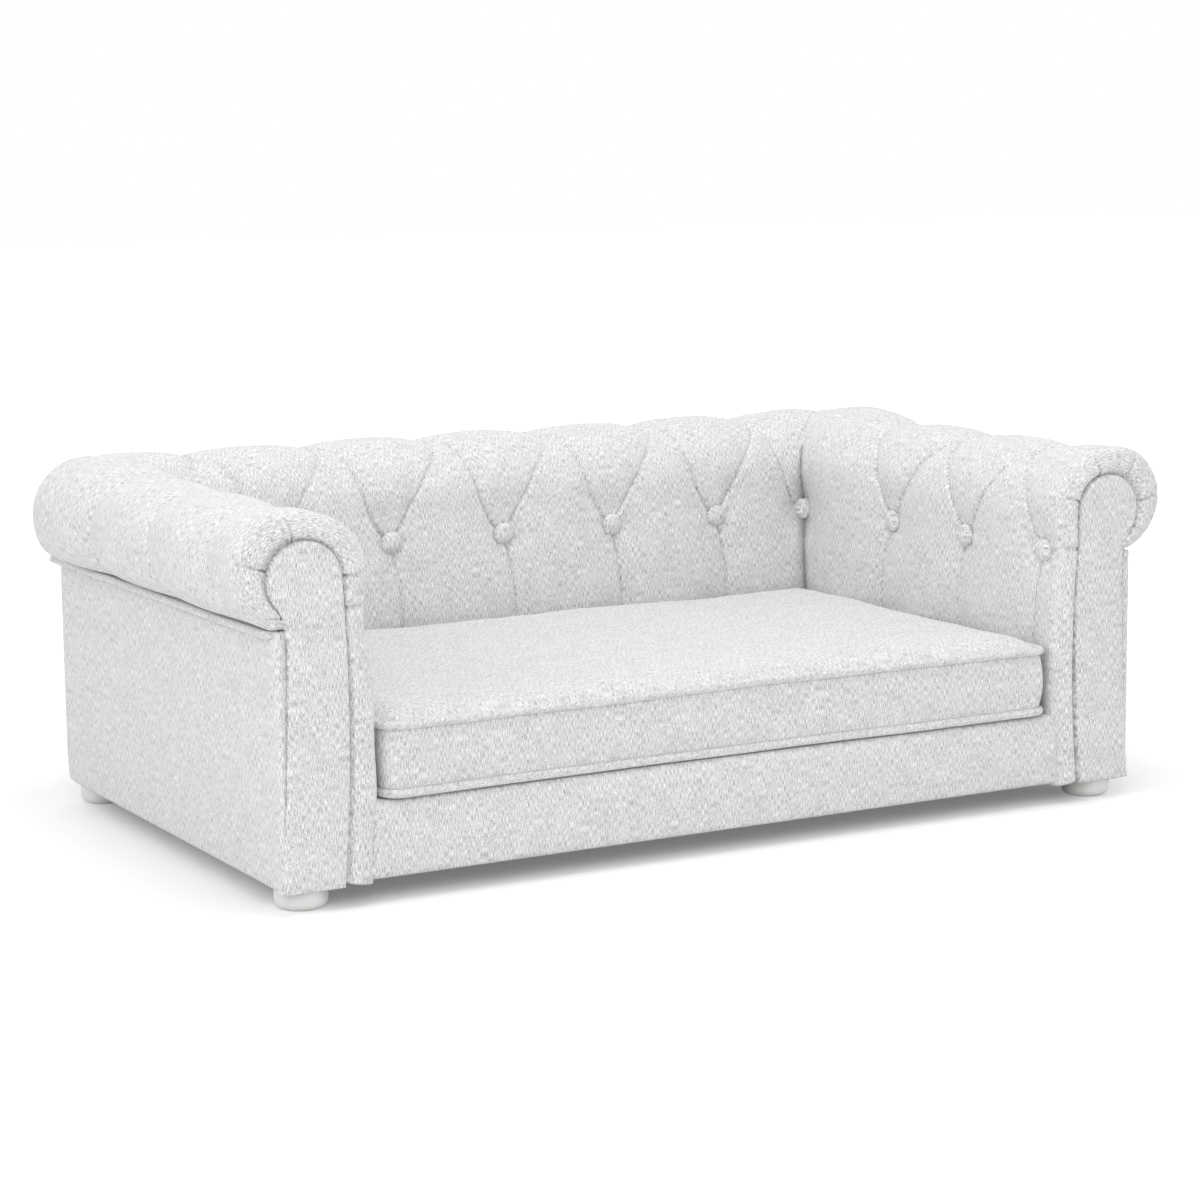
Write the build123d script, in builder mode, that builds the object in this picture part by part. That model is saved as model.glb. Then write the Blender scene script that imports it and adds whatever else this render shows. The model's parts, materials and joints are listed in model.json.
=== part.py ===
from build123d import *
import math
import os

os.makedirs("parts", exist_ok=True)

# Pet sofa with a tufted back, two rolled arms and a loose boxed cushion.
# Lengths are in millimetres. +X runs to the right arm, +Y to the back, +Z up,
# and the origin is on the floor under the middle of the sofa.

# Driving sizes of the whole sofa
seat_length = 720.0
seat_depth = 440.0
arm_width = 134.0
back_width = 149.0
overall_height = 348.0
foot_height = 18.5

# Roll on top of the arms and the back
roll_radius = 51.0
roll_crest_flat = 15.6
roll_overhang = 37.5
roll_corner_radius = 110.0
roll_front_rounding = 9.0
roll_core_radius = 30.0
barrel_depth = 7.0
shoulder_sweep = 125
roll_sweep = 180

# Tufted inner walls
seat_clearance = 0.4
pad_thickness = 41.6
tuft_pitch = 130.0
flute_depth = 8.0
flute_lean_share = 0.3
pad_front_setback = 3.5
slab_thickness = 20.0
slab_drop = 23.0
slab_corner_setback = 25.0
arm_button_inset = 33.5
arm_button_drop = 31.0
back_button_drop = 36.0
dimple_radius = 28.0
dimple_depth = 14.6
corner_dimple_depth = 17.0
return_flare = 16.0

# Covered buttons
button_radius = 11.0
button_dome = 6.0
button_seat_gap = 0.2
tie_width = 2.4
tie_clearance = 0.1

# Boards, rails and panels
panel_thickness = 4.0
panel_rounding = 3.0
board_thickness = 10.0
board_rise = 4.0
post_size = 50.0
rail_thickness = 15.0
rail_height = 58.0
deck_thickness = 12.0
deck_cloth_thickness = 1.0
dust_cover_thickness = 1.0
dust_cover_inset = 6.0
top_rail_height = 40.0
top_rail_rise = 17.0
front_upright_size = 20.0
cleat_size = 20.0
batten_width = 40.0
batten_height = 30.0
joint_gap = 0.2

# Arm fronts
facing_thickness = 8.0
facing_rounding = 2.5
facing_clearance = 0.3
scroll_board_thickness = 12.0
facing_foot_inset = 37.0
facing_waist_share = 0.7
neck_length = 20.0
neck_rounding = 12.0
head_radius = 34.5
head_neck_angle = 35
head_waist_angle = 4
head_drop = 59.2
head_shift = 14.5

# Front border and roll welts
border_rounding = 6.0
welt_radius = 3.0
welt_gap = 0.1

# Dowels, screws, bolts and staples
dowel_radius = 4.0
dowel_length = 30.0
dowel_clearance = 0.1
screw_radius = 2.0
screw_head_radius = 4.0
countersink_angle = 90
screw_length = 38.0
screw_clearance = 0.1
bolt_radius = 4.0
bolt_length = 40.0
bolt_engagement = 11.0
bolt_clearance = 0.1
staple_width = 11.0
staple_wire = 0.8
staple_pitch = 90.0

# Puck feet
foot_radius = 23.7
foot_rounding = 8.0
foot_inset = 67.0
foot_front_inset = 32.5
foot_rear_inset = 68.5

# Loose seat cushion
cushion_rest_gap = 0.3
cushion_box_height = 60.5
cushion_bottom_rise = 4.5
cushion_bottom_inset = 9.0
cushion_crown = 13.0
cushion_corner_radius = 34.0
side_draw = 4.0
piping_radius = 3.5
piping_clearance = 0.15
cover_thickness = 1.5
foam_clearance = 0.25
crown_step_shares = [(0.035, 0.45), (0.12, 0.80), (0.24, 0.97)]

# Zip at the back of the cushion
zip_length = 400.0
zip_width = 24.0
zip_tape_thickness = 1.0
zip_clearance = 0.2
coil_width = 5.0
coil_height = 1.4
slider_length = 12.0
slider_width = 9.0
slider_height = 3.4
slider_end_gap = 4.0
slider_rounding = 0.6
cut_overrun = 20.0

# Places that follow from the sizes
overall_length = seat_length + 2 * arm_width
overall_depth = seat_depth + back_width
half_length = overall_length / 2
half_depth = overall_depth / 2
front_y = -half_depth
inner_x = seat_length / 2 + seat_clearance
back_inner_y = front_y + seat_depth + seat_clearance
roll_x = half_length - roll_radius
roll_y = half_depth - roll_radius
roll_z = overall_height - roll_radius
shoulder_radius = arm_width - seat_clearance - roll_crest_flat - roll_radius
shoulder_x = roll_x - roll_crest_flat
shoulder_y = roll_y - roll_crest_flat
shoulder_z = overall_height - shoulder_radius
back_top_inner_y = shoulder_y - shoulder_radius
outer_x = half_length - roll_overhang
outer_y = half_depth - roll_overhang
neck_z = roll_z - math.sqrt(roll_radius ** 2 - (roll_radius - roll_overhang) ** 2)
corner_x = half_length - roll_corner_radius
corner_y = half_depth - roll_corner_radius
mitre_offset = half_length - half_depth
diagonal_share = math.sqrt(2) / 2

base_z = foot_height
rail_z = base_z + dust_cover_thickness
rail_top_z = rail_z + rail_height
deck_top_z = rail_top_z + deck_thickness
seat_z = deck_top_z + deck_cloth_thickness
frame_x = outer_x - panel_thickness
frame_y = outer_y - panel_thickness
arm_button_height = shoulder_z - arm_button_drop
back_button_height = shoulder_z - back_button_drop
board_x = inner_x + pad_thickness
board_y = back_top_inner_y + pad_thickness
board_outer_x = board_x + board_thickness
board_outer_y = board_y + board_thickness
board_top_z = shoulder_z + board_rise
top_rail_top_z = neck_z + top_rail_rise
top_rail_z = top_rail_top_z - top_rail_height
scroll_front_y = front_y + facing_thickness
frame_front_y = scroll_front_y + scroll_board_thickness
pad_front_y = front_y + pad_front_setback
post_inner_x = frame_x - post_size
slab_x = board_x - slab_thickness
slab_y = board_y - slab_thickness
back_slab_x = inner_x - slab_corner_setback
slab_top_z = board_top_z - slab_drop
first_button_y = front_y + arm_button_inset
arm_button_ys = [first_button_y + tuft_pitch * i for i in range(3)]
back_button_xs = [tuft_pitch * i for i in range(-2, 3)]
arm_button_x = inner_x + dimple_depth
wall_recline = back_top_inner_y - back_inner_y
back_wall_height = shoulder_z - seat_z
button_recline = wall_recline * (back_button_height - seat_z) / back_wall_height
back_button_y = back_inner_y + button_recline + dimple_depth
corner_button_x = inner_x + corner_dimple_depth
corner_button_y = corner_button_x - mitre_offset

# Helpers that draw one shape each


def block(low, high, mode=Mode.ADD):
    """A rectangular board between two opposite corners."""
    middle = tuple((a + b) / 2 for a, b in zip(low, high))
    size = [b - a for a, b in zip(low, high)]
    with Locations(middle):
        Box(*size, mode=mode)


def save(piece, name):
    """Label a finished piece and write it to its own file."""
    piece.part.label = name
    export_step(piece.part, f"parts/{name}.step")


def mirrored(piece):
    """The same piece on the left side of the sofa."""
    with BuildPart() as other:
        mirror(piece.part, about=Plane.YZ)
    return other


def arm_section(radius, base):
    """Half section of an arm roll along its axis, lobed between the tufts."""
    low = radius - barrel_depth
    front = pad_front_y + roll_front_rounding
    round_y = pad_front_y + roll_front_rounding * (1 - diagonal_share)
    round_r = radius - roll_front_rounding * (1 - diagonal_share)
    valleys = [y + tuft_pitch / 2 for y in arm_button_ys]
    far = half_depth
    with BuildLine() as outline:
        Line((pad_front_y, base), (pad_front_y, radius - roll_front_rounding))
        ThreePointArc((pad_front_y, radius - roll_front_rounding), (round_y, round_r), (front, radius))
        TangentArc((front, radius), (valleys[0], low), tangent=(1, 0))
        for start, end in zip(valleys, valleys[1:]):
            ThreePointArc((start, low), ((start + end) / 2, radius), (end, low))
        last_peak = valleys[-1] + tuft_pitch / 2
        TangentArc((last_peak, radius), (valleys[-1], low), tangent=(-1, 0))
        Line((last_peak, radius), (far, radius))
        Line((far, radius), (far, base))
        Line((far, base), (pad_front_y, base))
    make_face(outline.edges())


def back_section(radius, base):
    """Half section of the back roll along its axis, lobed between the tufts."""
    low = radius - barrel_depth
    reach = half_length
    valleys = [tuft_pitch * (i - 0.5) for i in range(-2, 4)]
    first_peak = valleys[0] - tuft_pitch / 2
    with BuildLine() as outline:
        Line((-reach, base), (-reach, radius))
        Line((-reach, radius), (first_peak, radius))
        TangentArc((first_peak, radius), (valleys[0], low), tangent=(1, 0))
        for start, end in zip(valleys, valleys[1:]):
            ThreePointArc((start, low), ((start + end) / 2, radius), (end, low))
        TangentArc((-first_peak, radius), (valleys[-1], low), tangent=(-1, 0))
        Line((-first_peak, radius), (reach, radius))
        Line((reach, radius), (reach, base))
        Line((reach, base), (-reach, base))
    make_face(outline.edges())


def facing_face(grow=0):
    """Scroll outline of the right arm's front, drawn in the XZ plane."""
    head = Vector(roll_x - head_shift, overall_height - head_drop)
    low_angle = math.radians(-head_neck_angle)
    high_angle = math.radians(180 - head_waist_angle)
    low_side = head + Vector(math.cos(low_angle), math.sin(low_angle)) * head_radius
    high_side = head + Vector(math.cos(high_angle), math.sin(high_angle)) * head_radius
    neck = low_side + Vector(math.sin(low_angle), -math.cos(low_angle)) * neck_length
    foot_in = (inner_x + facing_foot_inset, base_z)
    foot_out = (outer_x, base_z)
    outer_waist = (outer_x - (outer_x - neck.X) * facing_waist_share, (base_z + neck.Y) / 2)
    with BuildLine() as outline:
        CenterArc(head, head_radius, -head_neck_angle, 180 + head_neck_angle - head_waist_angle)
        TangentArc(high_side, foot_in, tangent=(-math.sin(high_angle), math.cos(high_angle)))
        Line(foot_in, foot_out)
        ThreePointArc(foot_out, outer_waist, neck)
        Line(neck, low_side)
    make_face(outline.edges())
    fillet(outline.vertices().sort_by_distance(neck)[0], radius=neck_rounding)
    if grow:
        offset(amount=grow)


def at_depth(y):
    """Plane across the sofa at the depth y; a negative extrusion runs to the back."""
    return Plane.XZ.offset(-y)


# Base frame

corner_signs = [(-1, -1), (1, -1), (-1, 1), (1, 1)]
post_ys = {-1: frame_front_y, 1: frame_y - post_size}
post_far_y = {-1: frame_front_y + post_size, 1: frame_y}
foot_x = half_length - foot_inset
foot_ys = {-1: front_y + foot_front_inset, 1: half_depth - foot_rear_inset}
foot_names = {(-1, -1): "front_left_foot", (1, -1): "front_right_foot",
              (-1, 1): "rear_left_foot", (1, 1): "rear_right_foot"}
dowel_z = rail_z + rail_height / 2
end_rail_middles = [frame_front_y + rail_thickness / 2, frame_y - rail_thickness / 2]
side_rail_middle = frame_x - rail_thickness / 2
side_rail_ends = [post_far_y[-1], post_ys[1]]
screw_xs = [-(post_inner_x + post_size / 2), 0, post_inner_x + post_size / 2]
cross_dowels = [(sx * post_inner_x, y, dowel_z) for sx in (-1, 1) for y in end_rail_middles]
side_dowels = [(sx * side_rail_middle, y, dowel_z) for sx in (-1, 1) for y in side_rail_ends]
deck_screws_at = [(x, y) for x in screw_xs for y in end_rail_middles]
screw_hole = screw_radius + screw_clearance


def dowel_cuts():
    """Holes for every dowel of the base frame, cut from the part in hand."""
    hole = dowel_radius + dowel_clearance
    with Locations(*[Location(place, (0, 90, 0)) for place in cross_dowels]):
        Cylinder(hole, dowel_length + joint_gap, mode=Mode.SUBTRACT)
    with Locations(*[Location(place, (90, 0, 0)) for place in side_dowels]):
        Cylinder(hole, dowel_length + joint_gap, mode=Mode.SUBTRACT)


def screw_cuts():
    """Shank holes of the deck screws, cut from the part in hand."""
    depth = screw_length + joint_gap
    with Locations(*[(x, y, deck_top_z - depth / 2) for x, y in deck_screws_at]):
        Cylinder(screw_hole, depth, mode=Mode.SUBTRACT)


with BuildPart() as corner_posts:
    for sx, sy in corner_signs:
        xs = sorted((sx * post_inner_x, sx * frame_x))
        block((xs[0], post_ys[sy], rail_z), (xs[1], post_far_y[sy], rail_top_z))
    dowel_cuts()
    screw_cuts()
    bolt_hole = bolt_length - bolt_engagement - dust_cover_thickness + joint_gap
    with Locations(*[(sx * foot_x, foot_ys[sy], rail_z + bolt_hole / 2) for sx, sy in corner_signs]):
        Cylinder(bolt_radius + bolt_clearance, bolt_hole, mode=Mode.SUBTRACT)
save(corner_posts, "corner_posts")

with BuildPart() as front_rail:
    block((-post_inner_x, frame_front_y, rail_z), (post_inner_x, frame_front_y + rail_thickness, rail_top_z))
    dowel_cuts()
    screw_cuts()
save(front_rail, "front_rail")

with BuildPart() as rear_rail:
    block((-post_inner_x, frame_y - rail_thickness, rail_z), (post_inner_x, frame_y, rail_top_z))
    dowel_cuts()
    screw_cuts()
save(rear_rail, "rear_rail")

with BuildPart() as right_side_rail:
    block((frame_x - rail_thickness, post_far_y[-1], rail_z), (frame_x, post_ys[1], rail_top_z))
    dowel_cuts()
save(right_side_rail, "right_side_rail")
save(mirrored(right_side_rail), "left_side_rail")

with BuildPart() as frame_dowels:
    with Locations(*[Location(place, (0, 90, 0)) for place in cross_dowels]):
        Cylinder(dowel_radius, dowel_length)
    with Locations(*[Location(place, (90, 0, 0)) for place in side_dowels]):
        Cylinder(dowel_radius, dowel_length)
save(frame_dowels, "frame_dowels")

with BuildPart() as centre_batten:
    block((-batten_width / 2, frame_front_y + rail_thickness, rail_top_z - batten_height),
          (batten_width / 2, frame_y - rail_thickness, rail_top_z))
save(centre_batten, "centre_batten")

with BuildPart() as deck_board:
    block((-frame_x, frame_front_y, rail_top_z), (frame_x, frame_y, deck_top_z))
    with Locations(*[(x, y, deck_top_z) for x, y in deck_screws_at]):
        CounterSinkHole(screw_hole, screw_head_radius + screw_clearance, depth=deck_thickness,
                        counter_sink_angle=countersink_angle)
save(deck_board, "deck_board")

screw_head_height = screw_head_radius - screw_radius

with BuildPart() as deck_screws:
    with BuildSketch(Plane.XZ):
        with BuildLine():
            Polyline((0, 0), (screw_head_radius, 0), (screw_radius, -screw_head_height),
                     (screw_radius, -screw_length), (0, -screw_length), close=True)
        make_face()
    screw = revolve(axis=Axis.Z, mode=Mode.PRIVATE)
    with Locations(*[(x, y, deck_top_z - screw_clearance) for x, y in deck_screws_at]):
        add(screw)
save(deck_screws, "deck_screws")

with BuildPart() as deck_cloth:
    block((-board_x, frame_front_y, deck_top_z), (board_x, board_y, seat_z))
save(deck_cloth, "deck_cloth")

# Arm and back boards with their cleats, rails and uprights

with BuildPart() as right_arm_board:
    block((board_x, frame_front_y, deck_top_z), (board_outer_x, board_y, board_top_z))
save(right_arm_board, "right_arm_board")
save(mirrored(right_arm_board), "left_arm_board")

with BuildPart() as back_board:
    block((-board_outer_x, board_y, deck_top_z), (board_outer_x, board_outer_y, board_top_z))
save(back_board, "back_board")

with BuildPart() as right_arm_cleat:
    block((board_outer_x, frame_front_y, deck_top_z),
          (board_outer_x + cleat_size, board_y, deck_top_z + cleat_size))
save(right_arm_cleat, "right_arm_cleat")
save(mirrored(right_arm_cleat), "left_arm_cleat")

with BuildPart() as back_cleat:
    block((-board_outer_x, board_outer_y, deck_top_z),
          (board_outer_x, board_outer_y + cleat_size, deck_top_z + cleat_size))
save(back_cleat, "back_cleat")

with BuildPart() as right_top_rail:
    block((board_outer_x, frame_front_y, top_rail_z), (frame_x, board_outer_y, top_rail_top_z))
save(right_top_rail, "right_top_rail")
save(mirrored(right_top_rail), "left_top_rail")

with BuildPart() as back_top_rail:
    block((-frame_x, board_outer_y, top_rail_z), (frame_x, frame_y, top_rail_top_z))
save(back_top_rail, "back_top_rail")

with BuildPart() as front_uprights:
    for low_x in (-frame_x, frame_x - front_upright_size):
        block((low_x, frame_front_y, deck_top_z),
              (low_x + front_upright_size, frame_front_y + front_upright_size, top_rail_z))
save(front_uprights, "front_uprights")

with BuildPart() as rear_uprights:
    for low_x in (-frame_x, board_outer_x):
        block((low_x, board_outer_y, deck_top_z), (low_x + frame_x - board_outer_x, frame_y, top_rail_z))
save(rear_uprights, "rear_uprights")

# Scroll boards and the upholstered facings in front of them

with BuildPart() as right_scroll_board:
    with BuildSketch(at_depth(scroll_front_y)):
        facing_face()
        with Locations((frame_x + panel_thickness, (base_z + neck_z) / 2)):
            Rectangle(2 * panel_thickness, neck_z - base_z, mode=Mode.SUBTRACT)
    extrude(amount=-scroll_board_thickness)
save(right_scroll_board, "right_scroll_board")
save(mirrored(right_scroll_board), "left_scroll_board")

with BuildPart() as right_facing:
    with BuildSketch(at_depth(front_y)):
        facing_face()
    extrude(amount=-facing_thickness)
    fillet(right_facing.faces().sort_by(Axis.Y)[0].edges(), radius=facing_rounding)
save(right_facing, "right_facing")
save(mirrored(right_facing), "left_facing")

# Outside panels, border, welts and dust cover

panel_top_z = neck_z - joint_gap

with BuildPart() as right_outside_panel:
    block((frame_x, pad_front_y, base_z), (outer_x, frame_y, panel_top_z))
    block((board_outer_x, pad_front_y, base_z), (outer_x, scroll_front_y, panel_top_z))
    front_edge = right_outside_panel.edges().filter_by(Axis.Z).group_by(Axis.X)[-1].sort_by(Axis.Y)[0]
    fillet(front_edge, radius=panel_rounding)
    with BuildSketch(at_depth(front_y - cut_overrun)):
        facing_face(facing_clearance)
    extrude(amount=-(facing_thickness + cut_overrun), mode=Mode.SUBTRACT)
save(right_outside_panel, "right_outside_panel")
save(mirrored(right_outside_panel), "left_outside_panel")

with BuildPart() as rear_outside_panel:
    block((-outer_x, frame_y, base_z), (outer_x, outer_y, panel_top_z))
    fillet(rear_outside_panel.edges().filter_by(Axis.Z).group_by(Axis.Y)[-1], radius=panel_rounding)
save(rear_outside_panel, "rear_outside_panel")

with BuildPart() as front_border:
    with BuildSketch(at_depth(pad_front_y)):
        with BuildLine():
            border_top = inner_x
            border_foot = inner_x + return_flare
            Polyline((-border_foot, base_z), (border_foot, base_z), (border_top, seat_z),
                     (-border_top, seat_z), close=True)
        make_face()
    extrude(amount=pad_front_y - frame_front_y)
    fillet(front_border.faces().sort_by(Axis.Y)[0].edges().sort_by(Axis.Z)[-1], radius=border_rounding)
save(front_border, "front_border")

welt_gap_radius = roll_radius + welt_radius + welt_gap
welt_x = outer_x + welt_radius + welt_gap
welt_y = outer_y + welt_radius + welt_gap
welt_z = roll_z - math.sqrt(welt_gap_radius ** 2 - (welt_x - roll_x) ** 2)

with BuildPart() as right_roll_welt:
    with BuildSketch(at_depth(pad_front_y + roll_front_rounding)):
        with Locations((welt_x, welt_z)):
            Circle(welt_radius)
    extrude(amount=pad_front_y + roll_front_rounding - outer_y)
save(right_roll_welt, "right_roll_welt")
save(mirrored(right_roll_welt), "left_roll_welt")

with BuildPart() as rear_roll_welt:
    with BuildSketch(Plane.YZ.offset(-outer_x)):
        with Locations((welt_y, welt_z)):
            Circle(welt_radius)
    extrude(amount=2 * outer_x)
save(rear_roll_welt, "rear_roll_welt")

with BuildPart() as dust_cover:
    block((dust_cover_inset - frame_x, frame_front_y + dust_cover_inset, base_z),
          (frame_x - dust_cover_inset, frame_y - dust_cover_inset, rail_z))
    with Locations(*[(sx * foot_x, foot_ys[sy], base_z) for sx, sy in corner_signs]):
        Cylinder(bolt_radius + bolt_clearance, cut_overrun, mode=Mode.SUBTRACT)
save(dust_cover, "dust_cover")

with BuildPart() as dust_cover_staples:
    row_xs = [staple_pitch * i for i in range(-4, 5)]
    column_ys = [staple_pitch * i for i in range(-1, 2)]
    low_z = base_z - staple_wire
    for y in (end_rail_middles[0], end_rail_middles[1]):
        for x in row_xs:
            if abs(x) < post_inner_x - staple_width:
                block((x - staple_width / 2, y - staple_wire / 2, low_z),
                      (x + staple_width / 2, y + staple_wire / 2, base_z))
    for x in (-side_rail_middle, side_rail_middle):
        for y in column_ys:
            block((x - staple_wire / 2, y - staple_width / 2, low_z),
                  (x + staple_wire / 2, y + staple_width / 2, base_z))
save(dust_cover_staples, "dust_cover_staples")

# Puck feet on bolts

for (sx, sy), foot_name in foot_names.items():
    with BuildPart(Plane((sx * foot_x, foot_ys[sy], 0))) as foot:
        Cylinder(foot_radius, foot_height, align=(Align.CENTER, Align.CENTER, Align.MIN))
        fillet(foot.edges().sort_by(Axis.Z)[0], radius=foot_rounding)
        socket = bolt_engagement + joint_gap
        with Locations((0, 0, foot_height - socket / 2)):
            Cylinder(bolt_radius + bolt_clearance, socket, mode=Mode.SUBTRACT)
    save(foot, foot_name)

with BuildPart() as foot_bolts:
    with Locations(*[(sx * foot_x, foot_ys[sy], foot_height - bolt_engagement) for sx, sy in corner_signs]):
        Cylinder(bolt_radius, bolt_length, align=(Align.CENTER, Align.CENTER, Align.MIN))
save(foot_bolts, "foot_bolts")

# Foam slabs behind the tufting and foam cores inside the rolls

tie_hole = tie_width + 2 * tie_clearance
tie_reach = board_x - arm_button_x
back_tie_reach = board_y - back_button_y
arm_ties = [(arm_button_x, y, arm_button_height) for y in arm_button_ys]
back_ties = [(x, back_button_y, back_button_height) for x in back_button_xs]
slab_front_y = frame_front_y
slab_rear_y = back_top_inner_y


def arm_tie_cuts():
    """Holes for the ties of the arm buttons, cut from the part in hand."""
    with Locations(*[(x + tie_reach / 2, y, z) for x, y, z in arm_ties]):
        Box(tie_reach + cut_overrun, tie_hole, tie_hole, mode=Mode.SUBTRACT)


def back_tie_cuts():
    """Holes for the ties of the back buttons, cut from the part in hand."""
    with Locations(*[(x, y + back_tie_reach / 2, z) for x, y, z in back_ties]):
        Box(tie_hole, back_tie_reach + cut_overrun, tie_hole, mode=Mode.SUBTRACT)


with BuildPart() as right_arm_foam:
    block((slab_x, slab_front_y, seat_z), (board_x, slab_rear_y, slab_top_z))
    arm_tie_cuts()
save(right_arm_foam, "right_arm_foam")
save(mirrored(right_arm_foam), "left_arm_foam")

with BuildPart() as back_foam:
    block((-back_slab_x, slab_y, seat_z), (back_slab_x, board_y, slab_top_z))
    back_tie_cuts()
save(back_foam, "back_foam")

with BuildPart() as right_roll_core:
    with BuildSketch(at_depth(frame_front_y)):
        with Locations((roll_x, roll_z)):
            Circle(roll_core_radius)
    extrude(amount=frame_front_y - corner_y)
save(right_roll_core, "right_roll_core")
save(mirrored(right_roll_core), "left_roll_core")

with BuildPart() as back_roll_core:
    with BuildSketch(Plane.YZ.offset(-corner_x)):
        with Locations((roll_y, roll_z)):
            Circle(roll_core_radius)
    extrude(amount=2 * corner_x)
save(back_roll_core, "back_roll_core")

# Tufted arm pad: lobed roll, lobed inner wall and the band that wraps the front

arm_roll_plane = Plane(origin=(roll_x, 0, roll_z), x_dir=(0, 1, 0), z_dir=(1, 0, 0))
arm_shoulder_plane = Plane(origin=(shoulder_x, 0, shoulder_z), x_dir=(0, 1, 0), z_dir=(1, 0, 0))
back_roll_plane = Plane(origin=(0, roll_y, roll_z), x_dir=(1, 0, 0), z_dir=(0, -1, 0))
back_shoulder_plane = Plane(origin=(0, shoulder_y, shoulder_z), x_dir=(1, 0, 0), z_dir=(0, -1, 0))
corner_plane = Plane(origin=(corner_x, corner_y, roll_z), x_dir=(1, 0, 0), z_dir=(0, -1, 0))
corner_roll_radius = roll_corner_radius - roll_radius
crest_radius = shoulder_x - corner_x
core_drop = roll_z - top_rail_top_z


def corner_roll():
    """Roll carried round the rear right corner, with the corner post under it."""
    with BuildSketch(corner_plane) as section:
        with BuildLine():
            Line((corner_roll_radius, roll_radius), (crest_radius, roll_radius))
            Line((crest_radius, roll_radius), (crest_radius, -core_drop))
            Line((crest_radius, -core_drop), (corner_roll_radius, -core_drop))
            Line((corner_roll_radius, -core_drop), (corner_roll_radius, -roll_radius))
            ThreePointArc((corner_roll_radius, -roll_radius), (roll_corner_radius, 0),
                          (corner_roll_radius, roll_radius))
        make_face()
    revolve(section.sketch, axis=Axis((corner_x, corner_y, 0), (0, 0, 1)), revolution_arc=90)
    block((corner_x, corner_y, neck_z), (outer_x, outer_y, roll_z))


def frame_cuts():
    """Room for the boards and rails under the right half of the tufting."""
    reach = overall_length
    block((board_outer_x, front_y, base_z), (reach, reach, neck_z), mode=Mode.SUBTRACT)
    block((-cut_overrun, board_y, base_z), (reach, reach, neck_z), mode=Mode.SUBTRACT)
    block((board_outer_x, frame_front_y, base_z), (frame_x, frame_y, top_rail_top_z), mode=Mode.SUBTRACT)
    block((-cut_overrun, board_outer_y, base_z), (frame_x, frame_y, top_rail_top_z), mode=Mode.SUBTRACT)
    block((board_x, frame_front_y, base_z), (board_outer_x, board_y, board_top_z), mode=Mode.SUBTRACT)
    block((-cut_overrun, board_y, base_z), (board_outer_x, board_outer_y, board_top_z), mode=Mode.SUBTRACT)


def corner_dimple():
    """Hollow of the right corner button, facing the middle of the seat."""
    back_off = dimple_radius * diagonal_share
    with Locations((corner_button_x - back_off, corner_button_y - back_off, back_button_height)):
        Sphere(dimple_radius, mode=Mode.SUBTRACT)


def lean_cut(plane, reach):
    """Top of a flute leaned back under the roll, cut from the part in hand."""
    with BuildSketch(plane) as section:
        with BuildLine():
            lean = flute_lean_share * flute_height
            Polyline((-cut_overrun, flute_start_z), (0, flute_start_z), (lean, flute_start_z + flute_height),
                     (-cut_overrun, flute_start_z + flute_height), close=True)
        make_face()
    extrude(section.sketch, amount=reach, both=True, mode=Mode.SUBTRACT)


flute_height = overall_height - seat_z
flute_start_z = arm_button_height
flute_top_z = shoulder_z + barrel_depth
mitre_far = overall_length

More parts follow.
